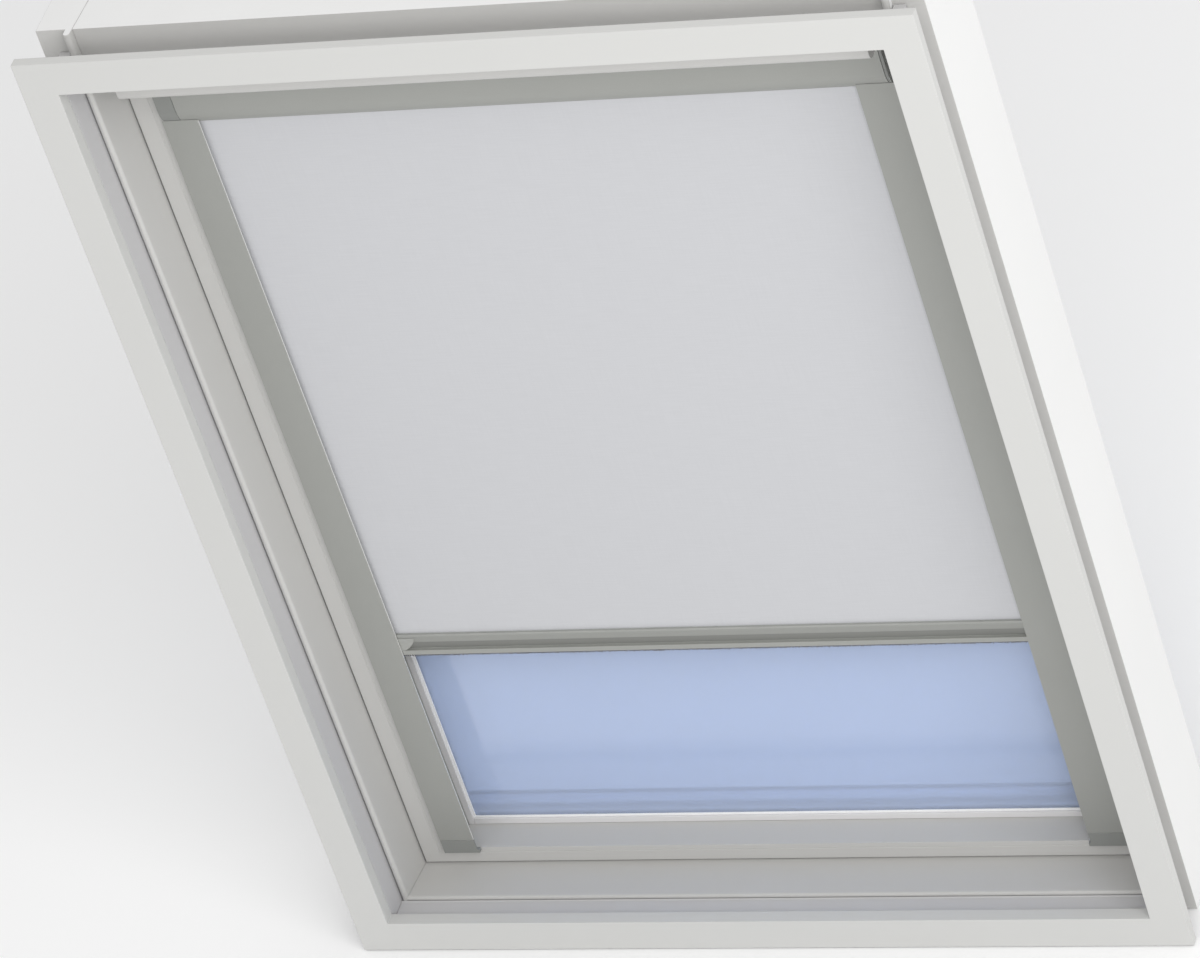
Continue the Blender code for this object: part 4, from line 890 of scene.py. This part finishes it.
def screw_tree():
    """A countersunk head with a cross recess on each point, turned to face as the point says."""
    tree, start, end = growth_tree(
        "Screw Heads", {"Head": float, "Depth": float, "Material": bpy.types.Material}
    )
    given = start.outputs
    head = put(
        tree,
        "GeometryNodeMeshCone",
        {"Vertices": 20, "Radius Top": given["Head"],
         "Radius Bottom": maths(tree, "MULTIPLY", given["Head"], 0.55), "Depth": given["Depth"]},
    )
    long = maths(tree, "MULTIPLY", given["Head"], 1.15)
    narrow = maths(tree, "MULTIPLY", given["Head"], 0.24)
    bars = []
    for across in ((long, narrow), (narrow, long)):
        size = put(tree, "ShaderNodeCombineXYZ",
                   {"X": across[0], "Y": across[1], "Z": given["Depth"]})
        bar = put(tree, "GeometryNodeMeshCube", {"Size": size.outputs[0]})
        lift = put(tree, "ShaderNodeCombineXYZ", {"Z": given["Depth"]})
        bars.append(put(tree, "GeometryNodeTransform",
                        {"Geometry": bar.outputs["Mesh"], "Translation": lift.outputs[0]}))
    cross = put(tree, "GeometryNodeMeshBoolean", operation="UNION")
    recess = put(tree, "GeometryNodeMeshBoolean", {"Mesh 1": head.outputs["Mesh"]},
                 operation="DIFFERENCE")
    for bar in bars:
        tree.links.new(bar.outputs["Geometry"], cross.inputs["Mesh 2"])
    tree.links.new(cross.outputs["Mesh"], recess.inputs["Mesh 2"])
    sunk = put(tree, "ShaderNodeCombineXYZ", {"Z": maths(tree, "MULTIPLY", given["Depth"], -1.0)})
    seated = put(tree, "GeometryNodeTransform",
                 {"Geometry": recess.outputs["Mesh"], "Translation": sunk.outputs[0]})
    facing = put(tree, "GeometryNodeInputNamedAttribute", {"Name": "facing"},
                 data_type="FLOAT_VECTOR")
    turn = put(tree, "FunctionNodeAlignRotationToVector",
               {"Vector": facing.outputs["Attribute"]}, axis="Z")
    stand = put(
        tree,
        "GeometryNodeInstanceOnPoints",
        {"Points": start.outputs["Geometry"], "Instance": seated.outputs["Geometry"],
         "Rotation": turn.outputs["Rotation"]},
    )
    return finish_tree(tree, start, end, stand.outputs["Instances"], smooth=False)


def bead_tree():
    """A round bead that follows the object's own edges."""
    tree, start, end = growth_tree(
        "Round Bead", {"Radius": float, "Material": bpy.types.Material}
    )
    path = put(tree, "GeometryNodeMeshToCurve", {"Mesh": start.outputs["Geometry"]})
    ring = put(tree, "GeometryNodeCurvePrimitiveCircle",
               {"Resolution": 10, "Radius": start.outputs["Radius"]})
    tube = put(
        tree,
        "GeometryNodeCurveToMesh",
        {"Curve": path.outputs["Curve"], "Profile Curve": ring.outputs["Curve"], "Fill Caps": True},
    )
    return finish_tree(tree, start, end, tube.outputs["Mesh"])


def bead(name, corners, radius, material, body, slot):
    """A round bead from corner to corner, closed into a ring where there are more than two."""
    count = len(corners)
    edges = [(spot, (spot + 1) % count) for spot in range(count if count > 2 else 1)]
    mesh = bpy.data.meshes.new(name)
    mesh.from_pydata(corners, edges, [])
    tree = bpy.data.node_groups.get("Round Bead") or bead_tree()
    values = {"Radius": radius, "Material": finish(material)}
    return settle(grow(name, tree, values, mesh), body, slot)


def screws(name, places, body, *stands_for):
    """Screw heads at (point, facing) places, as one piece on one body."""
    hardware = bpy.context.scene.window_hardware
    mesh = bpy.data.meshes.new(name)
    mesh.from_pydata([place for place, _ in places], [], [])
    facing = mesh.attributes.new("facing", "FLOAT_VECTOR", "POINT")
    facing.data.foreach_set("vector", [value for _, way in places for value in way])
    tree = bpy.data.node_groups.get("Screw Heads") or screw_tree()
    values = {"Head": hardware.head, "Depth": SCREW_DEPTH, "Material": finish("plated_steel")}
    return settle(grow(name, tree, values, mesh), body, "steel_parts", *stands_for)


# Operators, one for each piece or group of like pieces


class PieceOperator:
    """What the operators share: they build once and can be undone."""

    bl_options = {"REGISTER", "UNDO"}

    def execute(self, context):
        self.build(context.scene)
        return {"FINISHED"}


class ROOFWINDOW_OT_architrave(PieceOperator, bpy.types.Operator):
    """Flat painted border with filled mitres"""

    bl_idname = "roofwindow.architrave"
    bl_label = "Architrave"

    def build(self, scene):
        nodes = [f"architrave_{side}" for side in FOUR_SIDES]
        ring = ease_edges(weld_mitres(nodes), scene.window_paint.board_edge)
        border = even_normals(as_object("architrave_border", ring, "architrave_paint"))
        settle(border, "frame", "architrave", *nodes)


class ROOFWINDOW_OT_lining(PieceOperator, bpy.types.Operator):
    """Boards between the architrave and the frame"""

    bl_idname = "roofwindow.lining"
    bl_label = "Lining"

    def build(self, scene):
        for side in FOUR_SIDES:
            node = f"lining_{side}"
            dress(node, f"lining_board_{side}", "lining_board", scene.window_paint.timber_edge)
        self.filler(scene.window_glazing.filler)

    def filler(self, radius):
        """A painted bead of filler where the sill board meets the frame."""
        low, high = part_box("lining_bottom")
        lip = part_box("frame_bottom")[0].y
        y, z = (high.y + lip) / 2, high.z - radius / 3
        ends = [(low.x, y, z), (high.x, y, z)]
        bead("sill_filler", ends, radius, "lining_board", "frame", "lining")


class ROOFWINDOW_OT_frame(PieceOperator, bpy.types.Operator):
    """Fixed frame with its rounded lip"""

    bl_idname = "roofwindow.frame"
    bl_label = "Frame"

    SQUARE_ON = 0.99
    OUTWARD = 0.5

    def build(self, scene):
        for side in FOUR_SIDES:
            run = "upright" if side in SIDES else "level"
            name = f"frame_member_{side}"
            dress(f"frame_{side}", name, f"frame_paint_{run}", scene.window_paint.timber_edge,
                  "frame_primer", self.outside)

    def outside(self, face):
        """Whether a face lies on the outside of the frame, which the roof covers."""
        middle = face.calc_center_median()
        away = Vector((middle.x, 0.0, middle.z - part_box("frame_left")[1].z / 2)).normalized()
        flat = max(abs(face.normal.x), abs(face.normal.z)) > self.SQUARE_ON
        return flat and face.normal.dot(away) > self.OUTWARD


class ROOFWINDOW_OT_sash(PieceOperator, bpy.types.Operator):
    """Sash with filled mitres, and the seal under it"""

    bl_idname = "roofwindow.sash"
    bl_label = "Sash"

    def build(self, scene):
        nodes = [f"sash_{side}" for side in FOUR_SIDES]
        ring = ease_edges(weld_mitres(nodes), scene.window_paint.timber_edge)
        low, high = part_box("sash_bottom")
        for face in ring.faces:
            middle = face.calc_center_median()
            level = middle.z < high.z or middle.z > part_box("sash_top")[0].z
            face.material_index = int(level and abs(middle.x) < high.x - (high.z - low.z))
        sash = as_object("sash_timber", ring, "sash_paint_upright", "sash_paint_level")
        settle(even_normals(sash), "sash", "sash_paint", *nodes)
        self.weather_seal(scene.window_glazing.weather)

    def weather_seal(self, radius):
        """A rubber bead under the sash, which closes its gap to the frame."""
        low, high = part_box("sash_bottom")
        y, z = low.y + 3 * radius, low.z - radius
        ends = [(low.x + radius, y, z), (high.x - radius, y, z)]
        bead("weather_seal", ends, radius, "weather_seal_rubber", "sash", "glass_seal")


class ROOFWINDOW_OT_glazing(PieceOperator, bpy.types.Operator):
    """Beads, seals, panes and spacer of the double glazing, and the covers outside"""

    bl_idname = "roofwindow.glazing"
    bl_label = "Glazing"

    def build(self, scene):
        for side in FOUR_SIDES:
            # The beads' lighter paint is painted light against the rails' shade.
            dress(f"glazing_bead_{side}", f"bead_{side}", "bead_paint_with_painted_light", BEAD_EDGE)
            dress(f"sash_cover_{side}", f"outer_cover_{side}", "outer_cover_coat", COVER_EDGE,
                  "cover_lining", lambda face: face.normal.y < -0.9)
        dress("glass_gasket", "inner_glass_seal", "glass_seal_rubber", BEAD_EDGE)
        dress("glass_spacer", "pane_spacer", "mill_aluminium", SPACER_EDGE)
        for node in ("glass_inner", "glass_outer"):
            recoat(node, "pane_glass")
        self.outer_seal(scene.window_glazing)

    def outer_seal(self, glazing):
        """A black bead where the outer covers meet the pane."""
        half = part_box("sash_cover_right")[0].x
        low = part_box("sash_cover_bottom")[1].z
        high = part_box("sash_cover_top")[0].z
        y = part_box("glass_outer")[1].y + glazing.bulb
        corners = [(-half, y, low), (half, y, low), (half, y, high), (-half, y, high)]
        bead("outer_glass_seal", corners, glazing.bulb, "outer_seal_rubber", "sash", "glass_seal")


class ROOFWINDOW_OT_pivots(PieceOperator, bpy.types.Operator):
    """Pivot hinges with their screws"""

    bl_idname = "roofwindow.pivots"
    bl_label = "Pivot hinges"

    SCREW_FROM_END = 0.009
    PROUD = 0.00015
    BEARING_FLANGE = 0.002

    def build(self, scene):
        on_frame, on_sash = [], []
        for side, sign in (("left", -1), ("right", 1)):
            for kind in ("bearing", "plate"):
                name = f"hinge_{kind}_{side}"
                dress(f"pivot_{kind}_{side}", name, "plated_steel", STEEL_EDGE)
            low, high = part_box(f"pivot_plate_{side}")
            face = high.x if sign > 0 else low.x
            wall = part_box(f"pivot_bearing_{side}")
            wall_face = wall[int(sign > 0)].x - sign * self.BEARING_FLANGE
            middle = (low.y + high.y) / 2
            for z in (low.z + self.SCREW_FROM_END, high.z - self.SCREW_FROM_END):
                on_sash.append(((face + sign * self.PROUD, middle, z), (sign, 0, 0)))
                on_frame.append(((wall_face - sign * self.PROUD, middle, z), (-sign, 0, 0)))
        screws("hinge_screws_frame", on_frame, "frame")
        screws("hinge_screws_sash", on_sash, "sash")


class ROOFWINDOW_OT_control_bar(PieceOperator, bpy.types.Operator):
    """Rounded bar across the top of the sash"""

    bl_idname = "roofwindow.control_bar"
    bl_label = "Control bar"

    def build(self, scene):
        dress("control_bar", "opening_bar", "control_bar_paint", CONTROL_BAR_EDGE)
        for side in SIDES:
            node = f"control_bar_bracket_{side}"
            dress(node, f"opening_bar_ear_{side}", "plated_steel", THIN_EDGE)


class ROOFWINDOW_OT_rails(PieceOperator, bpy.types.Operator):
    """Side rails with their feet and screws"""

    bl_idname = "roofwindow.rails"
    bl_label = "Side rails"

    def build(self, scene):
        edge = scene.blind_finish.metal_edge
        places = []
        for side, sign in (("left", -1), ("right", 1)):
            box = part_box(f"side_rail_{side}")
            lip = min(abs(box[0].x), abs(box[1].x))
            # The lip faces get the lighter coat, a painted highlight along the rails' inner edges.
            dress(f"side_rail_{side}", f"guide_rail_{side}", "rail_coat", edge, "rail_lip_highlight_coat",
                  lambda face: all(abs(abs(vert.co.x) - lip) < WELD for vert in face.verts))
            dress(f"rail_foot_{side}", f"guide_foot_{side}", "end_cap_plastic", CAP_EDGE)
            low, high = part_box(f"rail_screw_{side}")
            face = low.x if sign > 0 else high.x
            middle = (low + high) / 2
            places.append(((face - sign * SCREW_LIFT, middle.y, middle.z), (-sign, 0, 0)))
        screws("guide_rail_screws", places, "sash", *[f"rail_screw_{side}" for side in SIDES])


class ROOFWINDOW_OT_cassette(PieceOperator, bpy.types.Operator):
    """Cassette shell with its end caps, clip brackets and screws"""

    bl_idname = "roofwindow.cassette"
    bl_label = "Cassette"

    def build(self, scene):
        edge = scene.blind_finish.metal_edge
        dress("cassette_body", "cassette_shell", "cassette_coat", edge)
        places = []
        for side in SIDES:
            dress(f"cassette_cap_{side}", f"cassette_end_{side}", "end_cap_plastic", CAP_EDGE)
            dress(f"cassette_bracket_{side}", f"clip_bracket_{side}", "plated_steel", THIN_EDGE)
            low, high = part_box(f"bracket_screw_{side}")
            middle = (low + high) / 2
            places.append(((middle.x, middle.y, low.z - SCREW_LIFT), (0, 0, -1)))
        screws("clip_bracket_screws", places, "sash", *[f"bracket_screw_{side}" for side in SIDES])


class ROOFWINDOW_OT_roller(PieceOperator, bpy.types.Operator):
    """Roller tube, plugs, shaft, lift spring and the wound cloth"""

    bl_idname = "roofwindow.roller"
    bl_label = "Roller"

    # The distance from one layer of cloth to the next, in thicknesses of the cloth
    LAYER_STEP = 1.05

    def build(self, scene):
        recoat("roller_tube", "mill_aluminium")
        recoat("spring_shaft", "plated_steel")
        for side in SIDES:
            recoat(f"roller_plug_{side}", "end_cap_plastic")
        self.spring(scene.window_hardware)
        self.wound(scene.blind_finish)

    def spring(self, hardware):
        low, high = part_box("lift_spring")
        middle = (low + high) / 2
        values = {
            "Place": (low.x + hardware.wire, middle.y, middle.z),
            "Run": high.x - low.x - 2 * hardware.wire,
            "Turns": float(hardware.turns),
            "Radius": (high.z - low.z) / 2 - hardware.wire,
            "Wire": hardware.wire,
            "Material": finish("spring_steel"),
        }
        coil = grow("lift_spring_coil", coil_tree(), values)
        settle(coil, "sash", "steel_parts", "lift_spring")

    def wound(self, blind):
        """The cloth on the roller, layer on layer."""
        low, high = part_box("fabric_roll")
        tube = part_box("roller_tube")
        inner = (tube[1].z - tube[0].z) / 2 + blind.thickness
        outer = (high.z - low.z) / 2 - blind.thickness / 2
        turns = (outer - inner) / (blind.thickness * self.LAYER_STEP)
        values = {
            "Place": tuple((low + high) / 2),
            "Turns": turns,
            "Inner Radius": inner,
            "Outer Radius": outer,
            "Width": high.x - low.x,
            "Thickness": blind.thickness,
            "Material": finish("blind_cloth"),
        }
        roll = grow("wound_cloth", wound_tree(), values)
        wrap_on_cylinder(roll.data, (low.y + high.y) / 2, (low.z + high.z) / 2)
        settle(roll, "roller", "blind_fabric", "fabric_roll")


def wrap_on_cylinder(mesh, y, z):
    """A UV map in metres for cloth wound about the line at (y, z) along X."""
    layer = mesh.uv_layers.new(name="UVMap")
    for loop in mesh.loops:
        point = mesh.vertices[loop.vertex_index].co
        radius = math.hypot(point.y - y, point.z - z)
        layer.uv[loop.index].vector = (point.x, math.atan2(point.z - z, point.y - y) * radius)


class ROOFWINDOW_OT_fabric(PieceOperator, bpy.types.Operator):
    """The hanging stretch of blind fabric"""

    bl_idname = "roofwindow.fabric"
    bl_label = "Fabric"

    COLUMNS = 48
    ROWS = 64
    EASE_OUT = 0.08
    FOLD = math.radians(40)
    # Each wave's height, its turns across and up in radians a metre, and its start
    WAVES = ((0.6, 5.1, 2.3, 0.0), (0.36, 11.3, -7.1, 1.0))
    EDGE_LIFT = 1.2
    EDGE_SHARPNESS = 12

    def build(self, scene):
        blind = scene.blind_finish
        low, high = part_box("fabric_sheet")
        bottom, top = low.z, high.z
        bar_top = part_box("bottom_bar")[1].z
        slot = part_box("bottom_bar")[1].x
        middle = (low.y + high.y) / 2
        points, faces = [], []
        for row in range(self.ROWS + 1):
            z = bottom + (top - bottom) * row / self.ROWS
            half = slot if z < bar_top + WELD else high.x
            free = max(0.0, math.sin(math.pi * (z - bottom) / (top - bottom)))
            for column in range(self.COLUMNS + 1):
                x = half * (2 * column / self.COLUMNS - 1)
                wave = sum(
                    tall * math.sin(across * x + up * z + begin)
                    for tall, across, up, begin in self.WAVES
                )
                edge = self.EDGE_LIFT * (abs(x) / high.x) ** self.EDGE_SHARPNESS
                points.append((x, middle + blind.ripple * free * (wave + edge), z))
        wide = self.COLUMNS + 1
        for row in range(self.ROWS):
            for column in range(self.COLUMNS):
                a = row * wide + column
                faces.append((a, a + 1, a + 1 + wide, a + wide))
        mesh = bpy.data.meshes.new("blind_fabric")
        mesh.from_pydata(points, [], faces)
        layer = mesh.uv_layers.new(name="UVMap")
        for loop in mesh.loops:
            point = mesh.vertices[loop.vertex_index].co
            layer.uv[loop.index].vector = (point.x, point.z)
        mesh.materials.append(finish("blind_cloth"))
        sheet = bpy.data.objects.new("blind_fabric", mesh)
        scene.collection.objects.link(sheet)
        thick = sheet.modifiers.new("Thickness", "SOLIDIFY")
        thick.thickness = blind.thickness
        thick.offset = 0.0
        make_plain(sheet)
        sheet.data.shade_smooth()
        sheet.data.set_sharp_from_angle(angle=self.FOLD)
        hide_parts("fabric_sheet")
        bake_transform(sheet)


class ROOFWINDOW_OT_bottom_bar(PieceOperator, bpy.types.Operator):
    """Bottom bar with its finger grip, end pieces and locking spline"""

    bl_idname = "roofwindow.bottom_bar"
    bl_label = "Bottom bar"

    GRIP_DEPTH = 0.0032
    NEAR = 0.0001
    STRIP = 0.0006
    PLAY = 0.00005

    def build(self, scene):
        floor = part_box("bottom_bar")[0].y + self.GRIP_DEPTH
        # The grip's floor faces get a darker coat, painted shade where the recess lies in shadow.
        dress("bottom_bar", "grip_bar", "cassette_coat", THIN_EDGE, "grip_floor_painted_shade",
              lambda face: all(abs(vert.co.y - floor) < self.NEAR for vert in face.verts))
        self.spline()
        for side in SIDES:
            dress(f"bar_end_{side}", f"grip_end_{side}", "bar_end_plastic", FINE_EDGE)

    def spline(self):
        """The spline, with the strip beside the cloth that fills the slot up to the bar's top."""
        bm = solid_of("fabric_spline")
        low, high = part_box("fabric_spline")
        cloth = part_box("fabric_sheet")[0].y - self.PLAY
        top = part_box("bottom_bar")[1].z - self.PLAY
        box_mesh(bm, (low.x, cloth - self.STRIP, high.z - self.PLAY), (high.x, cloth, top))
        obj = even_normals(as_object("cloth_spline", ease_edges(bm, FINE_EDGE), "spline_plastic"))
        settle(obj, "bottom_bar", "blind_plastic", "fabric_spline")


class ROOFWINDOW_OT_brush(PieceOperator, bpy.types.Operator):
    """Brush strip under the bottom bar"""

    bl_idname = "roofwindow.brush"
    bl_label = "Brush strip"

    BACKING = 0.0016
    ROOTED = 0.0001

    def build(self, scene):
        shape = scene.brush_shape
        low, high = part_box("brush_strip")
        root = high.z - self.BACKING
        bm = bmesh.new()
        box_mesh(bm, (low.x, low.y, root), high)
        backing = as_object("brush_backing", ease_edges(bm, THIN_EDGE), "end_cap_plastic")
        settle(even_normals(backing), "bottom_bar", "blind_plastic")
        bed = (high.y - low.y) / 2
        values = {
            "Root": ((low.x + high.x) / 2, low.y + bed / 2, root + self.ROOTED),
            "Run": high.x - low.x - 4 * shape.radius,
            "Bed Width": bed - 4 * shape.radius,
            "Count": shape.bristles,
            "Length": shape.reach,
            "Radius": shape.radius,
            "Seed": shape.seed,
            "Material": finish("bristle_pile"),
        }
        pile = grow("brush_bristles", bristle_tree(), values)
        settle(pile, "bottom_bar", "brush_pile", "brush_strip")


class ROOFWINDOW_OT_stage(PieceOperator, bpy.types.Operator):
    """Pale floor, soft lights and the camera"""

    bl_idname = "roofwindow.stage"
    bl_label = "Stage"

    FLOOR_HALF = 60.0
    FLOOR_DROP = 0.001
    KEY_PLACE = (1.6, -1.8, 2.2)
    KEY_SIZE = 2.0
    AIM = (0.0, 0.0, 0.5)

    def build(self, scene):
        studio = scene.studio_look
        self.floor(scene, studio)
        self.lights(scene, studio)
        self.camera(scene, studio)
        scene.view_settings.view_transform = "Standard"

    def floor(self, scene, studio):
        bm = bmesh.new()
        bmesh.ops.create_grid(bm, x_segments=1, y_segments=1, size=self.FLOOR_HALF)
        bmesh.ops.translate(bm, vec=(0, 0, -self.FLOOR_DROP), verts=bm.verts)
        mesh = bpy.data.meshes.new("floor")
        bm.to_mesh(mesh)
        bm.free()
        material, _, shader = shell("floor_paint", Roughness=0.9)
        shader.inputs["Base Color"].default_value = (*studio.floor, 1.0)
        mesh.materials.append(material)
        floor = bpy.data.objects.new("floor", mesh)
        scene.collection.objects.link(floor)

    def lights(self, scene, studio):
        world = bpy.data.worlds.new("studio_light")
        world.use_nodes = True
        world.node_tree.nodes["Background"].inputs["Strength"].default_value = studio.sky
        world.node_tree.nodes["Background"].inputs["Color"].default_value = (1, 1, 1, 1)
        scene.world = world
        data = bpy.data.lights.new("key_light", "AREA")
        data.shape = "SQUARE"
        data.size = self.KEY_SIZE
        data.energy = studio.key
        key = bpy.data.objects.new("key_light", data)
        key.location = self.KEY_PLACE
        aim = Vector(self.AIM) - Vector(self.KEY_PLACE)
        key.rotation_mode = "QUATERNION"
        key.rotation_quaternion = aim.to_track_quat("-Z", "Y")
        scene.collection.objects.link(key)

    def camera(self, scene, studio):
        data = bpy.data.cameras.new("camera")
        data.sensor_width = SENSOR_WIDTH
        data.lens = studio.lens
        data.clip_start, data.clip_end = 0.1, 200.0
        camera = bpy.data.objects.new("camera", data)
        back = -Vector(CAMERA_FORWARD).normalized()
        right = Vector(CAMERA_UP).cross(back).normalized()
        up = back.cross(right)
        turn = Matrix((right, up, back)).transposed().to_4x4()
        camera.matrix_world = Matrix.Translation(CAMERA_PLACE) @ turn
        scene.collection.objects.link(camera)
        scene.camera = camera


OPERATORS = (
    ROOFWINDOW_OT_stage,
    ROOFWINDOW_OT_architrave,
    ROOFWINDOW_OT_lining,
    ROOFWINDOW_OT_frame,
    ROOFWINDOW_OT_sash,
    ROOFWINDOW_OT_glazing,
    ROOFWINDOW_OT_pivots,
    ROOFWINDOW_OT_control_bar,
    ROOFWINDOW_OT_rails,
    ROOFWINDOW_OT_cassette,
    ROOFWINDOW_OT_roller,
    ROOFWINDOW_OT_bottom_bar,
    ROOFWINDOW_OT_fabric,
    ROOFWINDOW_OT_brush,
)
SETTINGS = {
    "window_paint": WindowPaint,
    "blind_finish": BlindFinish,
    "brush_shape": BrushShape,
    "window_glazing": Glazing,
    "window_hardware": Hardware,
    "studio_look": Studio,
}


class ROOFWINDOW_PT_pieces(bpy.types.Panel):
    """Lists the settings and the pieces."""

    bl_label = "Roof Window Blind"
    bl_idname = "ROOFWINDOW_PT_pieces"
    bl_space_type = "VIEW_3D"
    bl_region_type = "UI"
    bl_category = "Roof Window"

    def draw(self, context):
        for name, group in SETTINGS.items():
            column = self.layout.box().column()
            for prop in group.__annotations__:
                column.prop(getattr(context.scene, name), prop)
        column = self.layout.column()
        for operator in OPERATORS:
            column.operator(operator.bl_idname)


def register():
    for group in SETTINGS.values():
        bpy.utils.register_class(group)
    for name, group in SETTINGS.items():
        setattr(bpy.types.Scene, name, PointerProperty(type=group))
    for operator in OPERATORS:
        bpy.utils.register_class(operator)
    bpy.utils.register_class(ROOFWINDOW_PT_pieces)


def unregister():
    bpy.utils.unregister_class(ROOFWINDOW_PT_pieces)
    for operator in reversed(OPERATORS):
        bpy.utils.unregister_class(operator)
    for name in SETTINGS:
        delattr(bpy.types.Scene, name)
    for group in reversed(SETTINGS.values()):
        bpy.utils.unregister_class(group)


def main():
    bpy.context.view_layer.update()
    register()
    for operator in OPERATORS:
        getattr(bpy.ops.roofwindow, operator.bl_idname.split(".")[1])()


if __name__ == "__main__":
    main()
